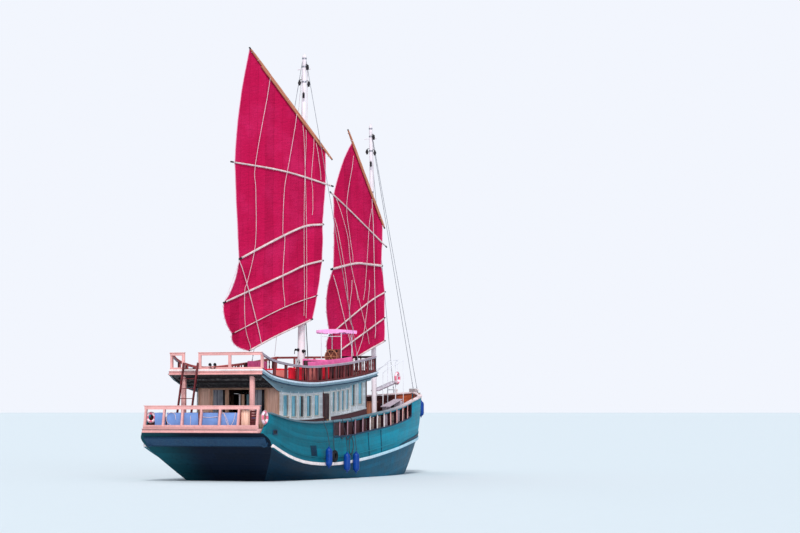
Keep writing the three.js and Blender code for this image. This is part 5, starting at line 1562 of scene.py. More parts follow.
def build_awning():
    a = AWNING
    aft, fore, tube, top_z = a["aft"], a["fore"], a["tube"], a["top"]
    arch = [(y, awning_rise(y)) for y in spread(a["y0"], a["y1"], 13)]
    tubes = []
    for y in (a["y0"], a["y1"]):
        tubes.append(sweep("side", [(aft - tube, y, top_z), (fore + tube, y, top_z)], circle(tube, 12)))
    for y in a["legs"]:
        for x in (aft, fore):
            foot = level("upper", x)
            head = top_z + awning_rise(y)
            tubes.append(post("leg", (x, y, foot), (x, y, head), tube, tube, 12))
            tubes.append(turned("flange", [(0.05, 0.001), (0.05, 0.008), (0.028, 0.014), (0.024, 0.06),
                (0.02, 0.062)], (x, y, foot), Z, 16))
        tubes.append(sweep("stay", [(fore, y, top_z - 0.42), (fore - 0.36, y, top_z - 0.02)],
            circle(0.014, 10)))
    tubes.append(sweep("rail", [(aft, y, top_z - 0.26) for y in a["legs"]], circle(0.014, 10)))
    for x in spread(aft, fore, 3):
        tubes.append(sweep("hoop", [(x, y, top_z + up) for y, up in arch], circle(tube, 12)))
    put(joined("awning_tubes", tubes), "tube_paint", replaces=["awning_frame"])

    x0, x1 = aft - a["over"], fore + a["over"]
    y0, y1 = a["y0"] - a["over"], a["y1"] + a["over"]
    low = top_z + 0.026

    def top(u, v):
        x, y = x0 + (x1 - x0) * u, y0 + (y1 - y0) * v
        slack = math.sin(math.pi * ((u * 2) % 1)) * (1 - (2 * v - 1) ** 2) * 0.014
        z = low + awning_rise(y) - slack + 0.004 * noise.noise(Vector((x * 6, y * 6, 1)))
        return Vector((x, y, z))

    sheet = surface("awning_sheet", 36, 36, top)
    modified(sheet, "SOLIDIFY", thickness=0.006, offset=1)
    smooth(sheet, 60)
    put(sheet, "awning_cloth", replaces=["awning"])
    # A scalloped valance round the four edges, fullest in the middle of each side
    corners = [(x0, y1), (x0, y0), (x1, y0), (x1, y1), (x0, y1)]
    steps = 24

    def hanging(u, v):
        run = u * 4
        side = min(int(run), 3)
        t = run - side
        (ax, ay), (bx, by) = corners[side], corners[side + 1]
        x, y = ax + (bx - ax) * t, ay + (by - ay) * t
        across = side in (0, 2)
        full = a["valance"] * (0.35 + 0.65 * math.sin(math.pi * t) if across else 0.7)
        scallop = 0.025 * abs(math.sin(t * math.pi * 5))
        ripple = 0.012 * math.sin(t * math.pi * 14) * (1 - v)
        drop = (full + scallop) * (1 - v)
        return Vector((x + (ripple if across else 0), y + (0 if across else ripple),
            low + 0.004 + awning_rise(y) - drop))

    skirt = surface("awning_valance", steps * 4, 5, hanging)
    modified(skirt, "SOLIDIFY", thickness=0.005, offset=0)
    put(smooth(skirt, 60), "awning_cloth")


# Foredeck and fenders

def plank_top(x):
    """The height of the boarding plank's upper face."""
    return 4.02 + (x - 8.75) * 0.18


def build_foredeck():
    coated(dressed("hatch_coaming", 0.012), "bench_wood")
    lid = dressed("hatch_lid", 0.006)
    mapped(lid, lambda c, n: (c.x, c.y))
    coated(lid, "inner_wood_shade_and_sun")
    slats = []
    for k in range(6):
        y = -0.5 + k * 0.2
        slats.append(block(f"slat_{k}", (4.31, y - 0.04, 2.8155), (5.46, y + 0.04, 2.833), 0.004))
    body = BODY_OF["hatch_lid"]
    put(joined("hatch_slats", slats), "bench_wood", body)
    put(ring("hatch_pull", (4.42, 0, 2.836), Z, 0.05, 0.008, 24, 8), "bronze", body)

    base = level("deck", 10.4)
    z = base + 0.38
    frame_part = dressed("windlass", 0.012)
    coated(frame_part, "dark_fittings", "bench_wood")
    faced(frame_part, lambda c, n: 1 if 0.39 < abs(c.y) < 0.49 else 0)
    drums = []
    for side in (-1, 1):
        drums.append(turned("drum", [(0.12, 0.5), (0.12, 0.52), (0.095, 0.53), (0.085, 0.57),
            (0.095, 0.605), (0.115, 0.615), (0.115, 0.625), (0.02, 0.628)], (10.4, 0, z), (0, side, 0), 24))
        drums.append(turned("barrel", [(0.13, 0.075), (0.13, 0.095), (0.1, 0.11), (0.094, 0.22),
            (0.1, 0.34), (0.13, 0.36), (0.13, 0.385)], (10.4, 0, z), (0, side, 0), 24))
    turns = sweep("turns", [(10.4 + 0.108 * math.cos(t), 0.13 + 0.0042 * t, z + 0.108 * math.sin(t))
        for t in spread(0, math.tau * 7, 126)], circle(0.012, 6), up=Y)
    put(joined("windlass_drums", drums), "dark_fittings")
    put(turns, "tarred_rope")

    plank = dressed("boarding_plank", 0.006)
    coated(plank, "rail_grey_weathered_and_shaded", "tube_paint")
    faced(plank, lambda c, n: 0 if abs(c.z - plank_top(c.x) + 0.03) < 0.036 else 1)
    treads = []
    for k in range(9):
        x = 8.95 + k * 0.27
        top = plank_top(x)
        treads.append(block(f"tread_{k}", (x - 0.02, 0.07, top - 0.01), (x + 0.02, 0.45, top + 0.018),
            0.004))
    put(joined("plank_treads", treads), "tube_paint")
    hand_ropes = [[(8.08, 0.0, 5.0), (8.4, 0.03, 5.02), (9.33, 0.03, 5.2), (10.47, 0.03, 5.49),
        (11.05, 0.03, 5.5)], [(10.24, 0.03, 5.14), (10.9, 0.03, 5.3), (11.8, 0.03, 5.51)]]
    rails = [sweep("rope", eased(points, 5), circle(0.014, 8)) for points in hand_ropes]
    for x, low, high in ((10.24, 4.3, 5.15), (11.05, 4.44, 5.51), (11.8, 3.0, 5.52)):
        rails.append(post("stanchion", (x, 0.03, low), (x, 0.03, high), 0.014, 0.014, 10))
    put(joined("plank_rails", rails), "tube_paint")
    build_buoy("bow_buoy", (10.9, -0.02, 4.62), Y, 0.24)

    # Locker, bench, bitts, bollards and cleats
    locker = block("bow_locker", (8.9, 0.5, level("deck", 9) + 0.0), (9.6, 1.05, 3.42), 0.02, 3)
    top = block("locker_lid", (8.86, 0.46, 3.42), (9.64, 1.09, 3.46), 0.012)
    put(joined("bow_locker", [locker, top]), "spar_wood")
    boards = []
    for k in range(2):
        start = Vector((4.6, -1.9 - k * 0.25, 3.2))
        end = Vector((6.75, -1.7 - k * 0.22, 3.56))
        boards.append(sweep("board", [start, start.lerp(end, 0.5), end], slab(0.22, 0.035, 0.008)))
    for x, top in ((4.95, 3.24), (6.4, 3.485)):
        boards.append(block("trestle", (x - 0.05, -2.15, level("deck", x)), (x + 0.05, -1.75, top), 0.01))
    put(joined("side_deck_bench", boards), "rail_grey_weathered_and_shaded")
    bitts = []
    for side in (-1, 1):
        for dx in (0, 0.22):
            x = 11.55 + dx
            z0 = level("deck", x)
            bitts.append(turned("bitt", [(0.05, 0), (0.05, 0.3), (0.068, 0.32), (0.068, 0.36), (0.04, 0.38),
                (0.002, 0.384)], (x, side * 0.22, z0), Z, 16))
    put(joined("bow_bitts", bitts), "dark_fittings")
    for name, side in SIDES:
        x = 12.15
        spot = (x, side * (breadth("cap", x) - 0.04), level("cap", x))
        put(turned(f"bow_bollard_{name}", [(0.07, 0), (0.06, 0.1), (0.09, 0.12), (0.09, 0.17), (0.05, 0.2),
            (0.002, 0.205)], spot, Z, 20), "trim_white")
    for name, side in SIDES:
        cleats = []
        for x in (-8.2, -4.3, 6.9, 11.0):
            spot = Vector((x, side * (breadth("cap", x) - 0.06), level("cap", x)))
            horn = ((-0.14, 0.062), (-0.07, 0.055), (0.07, 0.055), (0.14, 0.062))
            cleats.append(sweep("horn", [spot + Vector((dx, 0, dz)) for dx, dz in horn], circle(0.016, 8)))
            cleats.append(turned("foot", [(0.035, 0), (0.03, 0.012), (0.018, 0.05)], spot, Z, 12))
        put(joined(f"cleats_{name}", cleats), "bronze")


# Fenders: place along, side, height of the middle, length, radius
FENDERS = [
    (-4.9, -1, 0.98, 0.9, 0.15), (-2.95, -1, 0.74, 0.86, 0.15), (-1.95, -1, 0.72, 0.92, 0.15),
    (12.3, -1, 3.12, 0.8, 0.14),
]


def build_fenders():
    for k, (x, side, z, long, radius) in enumerate(FENDERS):
        reach = max(breadth("wale", x) + 0.095, breadth("cap", x) + 0.055)
        y = side * (reach + radius + 0.003)
        half = long / 2
        profile = [(0.002, -half), (0.045, -half + 0.004), (0.05, -half + 0.05)]
        profile += [(0.05 + (radius - 0.05) * math.sin(t * math.pi / 2),
            -half + 0.05 + (radius * 1.1) * (1 - math.cos(t * math.pi / 2))) for t in spread(0.1, 1, 8)]
        profile += [(radius, 0)]
        profile += [(r, -h) for r, h in profile[-2::-1]]
        body = turned("body", profile, (x, y, z), Z, 28)
        rings = [ring("eye", (x, y, z + s * (half + 0.02)), Y, 0.028, 0.01, 20, 8) for s in (-1, 1)]
        ribs = [ring("rib", (x, y, z + s * (half - radius * 1.35)), Z, radius + 0.001, 0.006, 28, 6)
            for s in (-1, 1)]
        put(joined(f"fender_body_{k + 1}", [body, *rings, *ribs]), "fender_skin",
            replaces=[f"fender_{k + 1}"])
        top = level("cap", x)
        edge = side * (breadth("cap", x) + 0.066)
        path = [(x, y, z + half + 0.03), (x, y, z + half + 0.2),
            (x, y * 0.6 + edge * 0.4, (z + half + top) / 2 + 0.1), (x, edge, top - 0.12),
            (x, edge, top - 0.03), (x, edge - side * 0.03, top + 0.012),
            (x, side * (breadth("cap", x) - 0.04), top + 0.02)]
        put(cord_line(f"fender_line_{k + 1}", eased(path, 4), 0.013, 8), "tarred_rope")
    # A worn tyre with its lashing hangs between the fenders
    x, z = -3.95, wale_height(-3.95) + 0.34
    place = hull_side_at(x, z, -1, 0.1)
    put(ring("side_tyre", place, Y, 0.19, 0.075, 40, 14), "rubber")
    top = level("cap", x)
    edge = -(breadth("cap", x) + 0.066)
    path = [place + Vector((0, 0, 0.14)), place + Vector((0, 0.05, 0.5)), Vector((x, edge, top - 0.1)),
        Vector((x, edge + 0.03, top + 0.012))]
    put(cord_line("tyre_line", eased(path, 5), 0.014, 8), "tarred_rope")

    def against(x, drop):
        z = level("cap", x) - drop
        return (bulwark_point if z > level("deck", x) else hull_side_at)(x, z, -1, 0.03)

    loops = []
    for row in ([(-2.5, 0.74), (-2.32, 0.92), (-2.1, 0.86), (-1.92, 0.74)],
            [(-1.92, 0.74), (-1.74, 0.95), (-1.68, 1.2), (-1.82, 1.45), (-2.06, 1.6), (-2.2, 1.42),
            (-2.12, 1.1), (-1.98, 0.78)], [(-3.1, 0.74), (-2.9, 0.86), (-2.68, 0.74)]):
        loops.append(sweep("loop", eased([against(x, drop) for x, drop in row], 5), circle(0.016, 8), up=Y))
    put(joined("mooring_loops", loops), "tarred_rope")


def build_stern_gear():
    coated(dressed("rudder", 0.02, 3), "bottom_paint")
    coated(dressed("propeller", 0.006), "bronze")


# Masts, sails and rigging. Tables: distance aft of the mast and height, as in the solids; cloth has the
# luff's and the leech's, lines start with their radius. Rake and swing are degrees.

SAIL_SIDE = -0.32
RIGS = {
    "main": dict(
        x=-0.59, rake=1.2, top=19.3, foot=0.2, head=0.095, swing=30, billow=0.06,
        radii=(0.06, 0.042, 0.05, 0.045, 0.02, 0.04),
        cloth=[
            (-1.01, 14.67, 3.26, 19.15), (-1.03, 14.1, 3.78, 16.58), (-1.03, 13.59, 3.99, 14.07),
            (-0.96, 12.6, 3.86, 11.9), (-0.88, 11.54, 3.7, 9.76), (-0.9, 10.72, 3.98, 8.6),
            (-0.88, 9.88, 4.5, 7.76), (-0.76, 9.1, 4.43, 7.05), (-0.61, 8.28, 4.03, 6.38),
            (-0.5, 7.75, 3.88, 5.9), (-0.36, 7.19, 3.12, 5.64),
        ],
        spars=[
            [(-1.36, 14.58), (0.98, 16.95), (3.32, 19.33)],
            [(-1.44, 13.35), (1.27, 13.85), (4.24, 14.08)],
            [(-0.91, 11.56), (0.16, 11.4), (1.6, 10.78), (3.73, 9.72)],
            [(-0.92, 9.9), (0.13, 9.62), (1.32, 9.1), (4.55, 7.73)],
            [(-0.63, 8.29), (1.24, 7.65), (4.05, 6.36)],
            [(-0.36, 7.19), (1.62, 6.36), (3.12, 5.64)],
        ],
        lines=[
            (0.012, [(2.17, 18.1), (2.97, 14.11), (2.94, 12.89), (2.92, 10.49), (3.33, 8.76),
                     (3.48, 8.26), (3.41, 6.64), (3.07, 5.71)]),
            (0.012, [(0.68, 16.57), (1.15, 14.15), (1.37, 12.99), (1.43, 11.03), (1.31, 10.82),
                     (1.4, 8.98), (1.24, 7.65)]),
            (0.01, [(0.34, 16.04), (0.2, 13.53), (0.1, 10.78), (0.05, 7.22)]),
            (0.01, [(0.16, 15.83), (0.24, 13.52), (0.25, 11.23), (0.17, 7.31)]),
            (0.01, [(-0.29, 15.49), (-0.14, 13.73), (-0.21, 13.09), (-0.24, 11.95)]),
            (0.01, [(-0.41, 15.27), (-0.71, 13.59)]),
            (0.018, [(3.77, 9.68), (3.27, 8.36), (2.5, 5.97)]),
            (0.014, [(4.55, 7.76), (3.77, 9.63)]),
        ],
    ),
    "fore": dict(
        x=8.16, rake=-2.0, top=16.8, foot=0.13, head=0.075, swing=18, billow=0.05,
        radii=(0.06, 0.036, 0.055, 0.036, 0.036, 0.04),
        cloth=[
            (-0.4, 12.02, 1.75, 15.97), (-0.39, 11.6, 2.5, 14.85), (-0.37, 11.18, 3.12, 13.37),
            (-0.32, 10.6, 3.12, 11.6), (-0.27, 10.02, 3.2, 9.92), (-0.4, 9.4, 3.72, 8.48),
            (-0.5, 8.75, 3.5, 6.76), (-0.48, 8.1, 3.75, 6.2), (-0.45, 7.48, 3.48, 5.67),
            (-0.45, 6.95, 3.5, 5.32), (-0.43, 6.4, 3.12, 5.02),
        ],
        spars=[
            [(-0.5, 11.84), (0.8, 14.18), (2.09, 16.52)],
            [(-0.66, 10.93), (2.1, 12.72), (3.4, 13.51)],
            [(-0.29, 10.02), (0.77, 10.09), (1.7, 10.12), (3.41, 9.83)],
            [(-0.52, 8.76), (0.81, 8.21), (3.6, 6.7)],
            [(-0.47, 7.51), (1.18, 6.74), (3.55, 5.63)],
            [(-0.45, 6.39), (1.2, 5.8), (3.2, 4.99)],
        ],
        lines=[
            (0.011, [(1.75, 15.29), (2.34, 13.0), (2.16, 11.48), (1.89, 10.19)]),
            (0.011, [(3.03, 13.18), (2.32, 11.47), (2.14, 10.23), (1.57, 8.37)]),
            (0.011, [(3.16, 12.27), (2.61, 10.16), (2.29, 8.37)]),
            (0.01, [(0.5, 12.78), (0.72, 12.06), (0.92, 10.29), (1.17, 8.37)]),
            (0.014, [(0.45, 13.24), (0.38, 8.37), (0.36, 6.53)]),
            (0.016, [(3.32, 9.56), (2.48, 7.09), (1.96, 5.7)]),
            (0.011, [(0.72, 9.33), (0.94, 8.08), (1.27, 6.69), (1.76, 5.69)]),
            (0.011, [(1.86, 9.33), (1.43, 8.03), (0.79, 6.25)]),
            (0.011, [(1.98, 9.33), (2.27, 7.61), (1.91, 6.94)]),
        ],
    ),
}


def mast_matrix(rig):
    return Matrix.Translation((rig["x"], 0, 0)) @ Matrix.Rotation(math.radians(rig["rake"]), 4, "Y")


def sail_matrix(rig):
    return mast_matrix(rig) @ Matrix.Rotation(-math.radians(rig["swing"]), 4, "Z")


def moved(obj, matrix):
    obj.data.transform(matrix)
    return obj


def on_line(points, s):
    """The height of a spar at a distance aft, on a smooth line through its points."""
    path = eased([(a, 0, z) for a, z in points], 8)
    for a, b in zip(path, path[1:]):
        if a.x <= s <= b.x:
            return a.z + (b.z - a.z) * (s - a.x) / max(b.x - a.x, 1e-6)
    return path[0].z if s < path[0].x else path[-1].z


def mast_radius(rig, z):
    return rig["foot"] + (rig["head"] - rig["foot"]) * z / rig["top"]


def cloth_point(rig, panel, t, w):
    """A point on the cloth: a share t from luff to leech, and w down one panel."""
    rows = rig["cloth"][2 * panel:2 * panel + 3]
    weights = ((1 - w) * (1 - 2 * w), 4 * w * (1 - w), w * (2 * w - 1))
    s0, z0, s1, z1 = (sum(k * row[c] for k, row in zip(weights, rows)) for c in range(4))
    s, z = s0 + (s1 - s0) * t, z0 + (z1 - z0) * t
    for share, row, spar in ((1 - w, rows[0], rig["spars"][panel]), (w, rows[2], rig["spars"][panel + 1])):
        straight_s = row[0] + (row[2] - row[0]) * t
        straight_z = row[1] + (row[3] - row[1]) * t
        z += share * (on_line(spar, straight_s) - straight_z)
    belly = rig["billow"] * math.sin(math.pi * w) * math.sin(math.pi * t)
    slack = (0.35 + 0.65 * math.sin(math.pi * w)) * min(1, panel / 2 + 0.35)
    fold = noise.noise(Vector((s * 0.9 + z * 0.55, z * 1.7 - s * 1.1, panel * 3.1)))
    fine = noise.noise(Vector((s * 3.2 + z * 2.4, z * 0.8 - s, panel * 7.7)))
    gather = math.sin((s + z * 0.35) * 17 + panel) * math.exp(-w * 7) * 0.012
    y = SAIL_SIDE + belly + slack * (0.03 * fold + 0.012 * fine) + gather
    return Vector((-s, y, z))


def build_sail(rig_name):
    rig = RIGS[rig_name]
    body, across, down = f"{rig_name}_rig", 56, 16
    panels = []
    for panel in range(5):
        piece = surface("panel", across, down, lambda u, v, p=panel: cloth_point(rig, p, u, 1 - v))
        panels.append(piece)
    whole = cleaned(joined(f"{rig_name}_sail_cloth", panels), merge=0.001, recalculate=False)
    mapped(whole, lambda c, n: (-c.x, c.z))
    modified(whole, "SOLIDIFY", thickness=0.008, offset=0)
    moved(smooth(whole, 60), sail_matrix(rig))
    coated(whole, "sailcloth")
    fitted(whole, body, replaces=[f"{rig_name}_sail"])
    return whole


def spar_path(points, out):
    return [Vector((-p.x, SAIL_SIDE - out, p.z)) for p in eased([(s, 0, z) for s, z in points], 7)]


def build_battens(rig_name):
    """Battens lashed to the cloth, with their rope ends and loops round the mast."""
    rig = RIGS[rig_name]
    turn, body = sail_matrix(rig), f"{rig_name}_rig"
    poles, tips, lashings = [], [], []
    for k, points in enumerate(rig["spars"]):
        yard, boom = k == 0, k == 5
        radius = rig["radii"][k]
        path = spar_path(points, 0.008 + max(radius, 0.036) * 0.85)
        rough = [1 + 0.13 * noise.noise(p * 4.0 + Vector((k, 0, 0))) for p in path]
        last = len(path) - 1

        def thin(u, r=radius, w=rough, n=last, y=yard):
            ends = min(1, 0.55 + 5 * min(u, 1 - u)) if y else min(1, 0.8 + 6 * min(u, 1 - u))
            return r * w[round(u * n)] * ends

        pole = moved(sweep("pole", path, circle(1, 12), up=Y, taper=thin), turn)
        if yard or boom:
            kind = "yard" if yard else "boom"
            pole.name = f"{rig_name}_{kind}_pole"
            coated(pole, "spar_wood" if yard else "batten_wood")
            fitted(pole, body, replaces=[f"{rig_name}_{kind}"])
            if yard:
                a, b = path[int(last * 0.2)], path[int(last * 0.9)]
                drop = Vector((0, -0.02, -0.11))
                fish = sweep("fish", [a + drop, a.lerp(b, 0.5) + drop, b + drop], circle(1, 10), up=Y,
                    taper=lambda u: 0.045)
                coated(moved(fish, turn), "spar_wood")
                fish.name = f"{rig_name}_yard_doubling"
                fitted(fish, body)
        else:
            poles.append(pole)
        for end, inner in ((path[0], path[2]), (path[-1], path[-3])):
            axis = (end - inner).normalized()
            tips.append(moved(sweep("tip", [end - axis * 0.14, end - axis * 0.07, end + axis * 0.012],
                circle(radius * (0.62 if yard else 0.9), 10), up=Y), turn))
        length = sum((b - a).length for a, b in zip(path, path[1:]))
        count = int(length / (0.3 if yard else 0.34))
        for j in range(count + 1):
            spot = path[0].lerp(path[-1], 0.02 + 0.96 * j / count)
            near = min(range(last), key=lambda i: (path[i] - spot).length)
            axis = (path[near + 1] - path[near]).normalized()
            lashings.append(moved(ring("lash", path[near].lerp(path[near + 1], 0.5) + Vector((0, 0.01, 0)),
                axis, radius * 1.08, 0.009, 14, 5), turn))
        # Loop and strop round the mast
        z = on_line(points, 0)
        reach = mast_radius(rig, z) + 0.03
        loop = ring("loop", (0, 0, z), Z, reach, 0.018, 40, 8)
        strop = sweep("strop", [(0, -reach, z), (0.0, SAIL_SIDE - 0.02, z + 0.005),
            (0.0, SAIL_SIDE - radius, z + radius * 1.2)], circle(0.018, 8), up=X)
        lashings += [moved(loop, turn), moved(strop, turn)]
    put(joined(f"{rig_name}_battens", poles), "batten_wood", body)
    put(joined(f"{rig_name}_spar_tips", tips), "dark_fittings", body)
    put(joined(f"{rig_name}_lashings", lashings), "white_rope", body)


def build_sail_ropes(rig_name):
    rig = RIGS[rig_name]
    turn, body = sail_matrix(rig), f"{rig_name}_rig"
    edges = []
    for t in (0.0, 1.0):
        for panel in range(5):
            path = [cloth_point(rig, panel, t, w) for w in spread(0, 1, 9)]
            edges.append(moved(sweep("edge", path, circle(0.017, 8), up=Y), turn))
    put(joined(f"{rig_name}_edge_ropes", edges), "edge_rope", body)
    ties = []
    for panel in range(2 if rig_name == "main" else 1, 5):
        for w in (0.12, 0.3, 0.5, 0.7, 0.88):
            spot = cloth_point(rig, panel, 1.0, w)
            ties.append(moved(ring("tie", spot + Vector((-0.03, 0, 0)), Y, 0.034, 0.009, 14, 5), turn))
    put(joined(f"{rig_name}_leech_ties", ties), "white_rope", body)
    lines = []
    for radius, points in rig["lines"]:
        path = [Vector((-p.x, SAIL_SIDE - 0.15, p.z)) for p in eased([(s, 0, z) for s, z in points], 4)]
        path[0].y = path[-1].y = SAIL_SIDE - 0.1
        lines.append(moved(sweep("line", path, circle(radius, 6), up=Y), turn))
    put(joined(f"{rig_name}_sail_lines", lines), "white_rope", body)


def build_sails():
    for rig_name in RIGS:
        build_sail(rig_name)
        build_battens(rig_name)
        build_sail_ropes(rig_name)


def build_masts():
    for rig_name, rig in RIGS.items():
        frame_place = mast_matrix(rig)
        foot = 4.45 if rig_name == "main" else 2.68
        profile = [(mast_radius(rig, z), z) for z in spread(foot, rig["top"], 40)]
        profile += [(rig["head"] * 0.8, rig["top"] + 0.03), (0.002, rig["top"] + 0.05)]
        pole = turned("pole", profile, (0, 0, 0), Z, 32)
        seat = on_line(rig["spars"][5], 0) - 0.0303
        r = mast_radius(rig, seat)
        parts = [pole, turned("collar", [(r, seat - 0.1), (r + 0.012, seat - 0.09),
            (r + 0.045, seat - 0.02), (r + 0.05, seat - 0.004), (r + 0.02, seat)], (0, 0, 0), Z, 32)]
        base = foot + (0.02 if rig_name == "main" else 0.0)
        ground = mast_radius(rig, foot)
        parts.append(turned("coat", [(ground + 0.09, base), (ground + 0.085, base + 0.04),
            (ground + 0.03, base + 0.09), (ground + 0.012, base + 0.22), (ground, base + 0.225)], (0, 0, 0),
            Z, 28))
        put(moved(joined(f"{rig_name}_mast_pole", parts), frame_place), "mast_paint",
            replaces=[f"{rig_name}_mast"])
        build_masthead(rig_name)
    build_winches()


def build_masthead(rig_name):
    rig = RIGS[rig_name]
    place = mast_matrix(rig)
    top = rig["top"]
    bands = [turned("band", [(mast_radius(rig, z) + 0.001, z - 0.04),
        (mast_radius(rig, z) + 0.014, z - 0.03), (mast_radius(rig, z) + 0.014, z + 0.03),
        (mast_radius(rig, z), z + 0.04)], (0, 0, 0), Z, 24) for z in (top - 0.12, top - 0.5, top - 1.2,
        top - 3.2, top - 7.0) if z > 0]
    put(moved(joined(f"{rig_name}_mast_bands", bands), place), "steel")
    gear = []
    for height, angle in ((top - 0.45, 250), (top - 1.15, 120), (top - 1.2, 300), (top - 1.75, 200)):
        a = math.radians(angle)
        r = mast_radius(rig, height)
        out = bearing(a)
        spot = out * (r + 0.11) + Z * height
        gear.append(turned("sheave", [(0.002, -0.035), (0.05, -0.035), (0.075, -0.025), (0.055, 0),
            (0.075, 0.025), (0.05, 0.035), (0.002, 0.035)], spot - Z * 0.1, out.cross(Z), 16))
        cheek = block("cheek", (-0.045, -0.05, -0.12), (0.045, 0.05, 0.12), 0.02, 3)
        gear.append(moved(cheek, Matrix.Translation(spot - Z * 0.1) @ Matrix.Rotation(a, 4, "Z")))
        gear.append(sweep("eye", [out * r + Z * (height + 0.05), out * (r + 0.07) + Z * (height + 0.06),
            spot + Z * 0.03], circle(0.014, 8), up=out.cross(Z)))
    put(moved(joined(f"{rig_name}_mast_blocks", gear), place), "dark_fittings")
    pole = [post("staff", (0.0, 0, top), (0.0, 0, top + 0.075), 0.012, 0.01, 8),
        turned("light", [(0.02, top + 0.03), (0.035, top + 0.04), (0.035, top + 0.1), (0.02, top + 0.11),
        (0.002, top + 0.115)], (0.03, 0, 0), Z, 14)]
    cross = sweep("cross", [(0, -0.32, top - 0.62), (0, 0, top - 0.6), (0, 0.32, top - 0.62)],
        slab(0.05, 0.04, 0.01), up=Z)
    put(moved(joined(f"{rig_name}_mast_top", [*pole, cross]), place), "mast_paint")


def build_winches():
    rig = RIGS["main"]
    place = mast_matrix(rig)
    parts = []
    for angle, z in ((235, 5.72), (150, 5.78)):
        out = bearing(math.radians(angle))
        r = mast_radius(rig, z)
        parts.append(turned("winch", [(0.075, r - 0.02), (0.075, r + 0.03), (0.05, r + 0.045),
            (0.042, r + 0.1), (0.055, r + 0.15), (0.05, r + 0.165), (0.02, r + 0.17), (0.002, r + 0.172)],
            Z * z, out, 20))
        parts.append(sweep("handle", [Z * z + out * (r + 0.16), Z * z + out * (r + 0.2),
            Z * (z - 0.2) + out * (r + 0.21)], slab(0.03, 0.02, 0.004), up=out.cross(Z)))
    for angle, z in ((180, 5.2), (90, 5.25), (270, 5.15)):
        out = bearing(math.radians(angle))
        spot = Z * z + out * (mast_radius(rig, z) + 0.045)
        horn = ((-0.13, 0.02), (-0.06, 0.0), (0.06, 0.0), (0.13, 0.02))
        parts.append(sweep("cleat", [spot + Z * dz + out * dx for dz, dx in horn], circle(0.016, 8),
            up=out.cross(Z)))
        parts.append(turned("cleat_foot", [(0.03, -0.05), (0.022, 0.0)], spot, out, 12))
    put(moved(joined("mast_winches", parts), place), "dark_fittings")


def bearing(angle):
    """A level direction, in radians from ahead."""
    return Vector((math.cos(angle), math.sin(angle), 0))


def on_mast(rig, z):
    a = math.radians(rig["rake"])
    return Vector((rig["x"] + z * math.sin(a), 0, z * math.cos(a)))


def turnbuckle(foot, ahead):
    """Rigging screw and the shackle at its end, at the foot of a stay."""
    axis = ahead.normalized()
    return [turned("screw", [(0.012, 0.05), (0.026, 0.07), (0.026, 0.1), (0.014, 0.11), (0.014, 0.27),
        (0.026, 0.28), (0.026, 0.31), (0.012, 0.34)], foot, axis, 12),
        ring("shackle", foot + axis * 0.03, axis.cross(X) if abs(axis.x) < 0.9 else Y, 0.028, 0.009, 18, 6)]


def build_stays():
    main, fore = RIGS["main"], RIGS["fore"]
    steel = []
    wires = [("fore_stay", on_mast(fore, 16.65), (13.02, 0, 4.126))]
    for name, side in SIDES:
        foot = (12.05, side * (breadth("cap", 12.05) - 0.02), level("cap", 12.05) + 0.006)
        wires.append((f"fore_shroud_{name}", on_mast(fore, 16.5) + Y * side * 0.05, foot))
        x = -0.1
        foot = (x, side * (breadth("upper", x) - 0.05), level("upper", x) + 0.706)
        wires.append((f"main_shroud_{name}", on_mast(main, 19.15) + Y * side * 0.08, foot))
    for name, head, foot in wires:
        foot = Vector(foot)
        put(cord_line(f"{name}_wire", [foot, foot.lerp(head, 0.5), head], 0.013, 8), "stay_wire",
            replaces=[name])
        steel += turnbuckle(foot, head - foot)
    put(joined("stay_screws", steel), "steel")


def build_running_rigging():
    """Halyards and lifts that stand on the boat's own body."""
    main, fore = RIGS["main"], RIGS["fore"]
    lines = []

    def add_line(points, radius=0.011, drop=0.0):
        points = [Vector(p) for p in points]
        if drop:
            points = sag(points[0], points[-1], drop)
        lines.append(cord_line("line", points, radius, 6))

    head = on_mast(main, 18.75)
    add_line([head + Vector((0.16, -0.1, 0)), on_mast(main, 5.3) + Vector((0.25, -0.05, 0))], 0.012, 0.02)
    add_line([head + Vector((0.17, 0.08, 0)), on_mast(main, 5.3) + Vector((0.27, 0.12, 0))], 0.01, 0.03)
    add_line([head + Vector((0.12, 0.14, 0)), (1.9, 2.45, 5.55)], 0.01, 0.05)
    head = on_mast(fore, 16.3)
    add_line([head + Vector((0.12, -0.06, 0)), on_mast(fore, 3.4) + Vector((0.18, -0.05, 0))], 0.01, 0.02)
    add_line([head + Vector((0.13, 0.07, 0)), on_mast(fore, 3.4) + Vector((0.2, 0.09, 0))], 0.01, 0.03)
    add_line([head + Vector((0.12, 0.1, 0)), (10.9, 1.16, 3.84)], 0.01, 0.04)
    put(joined("halyards", lines), "white_rope")
    put(cord_line("mast_downhaul", sag(on_mast(main, 7.0) + Vector((0.05, -0.2, 0)),
        on_mast(main, 4.52) + Vector((0.12, -0.34, 0)), 0.01), 0.02, 8), "tarred_rope")


# Floor, lights and camera

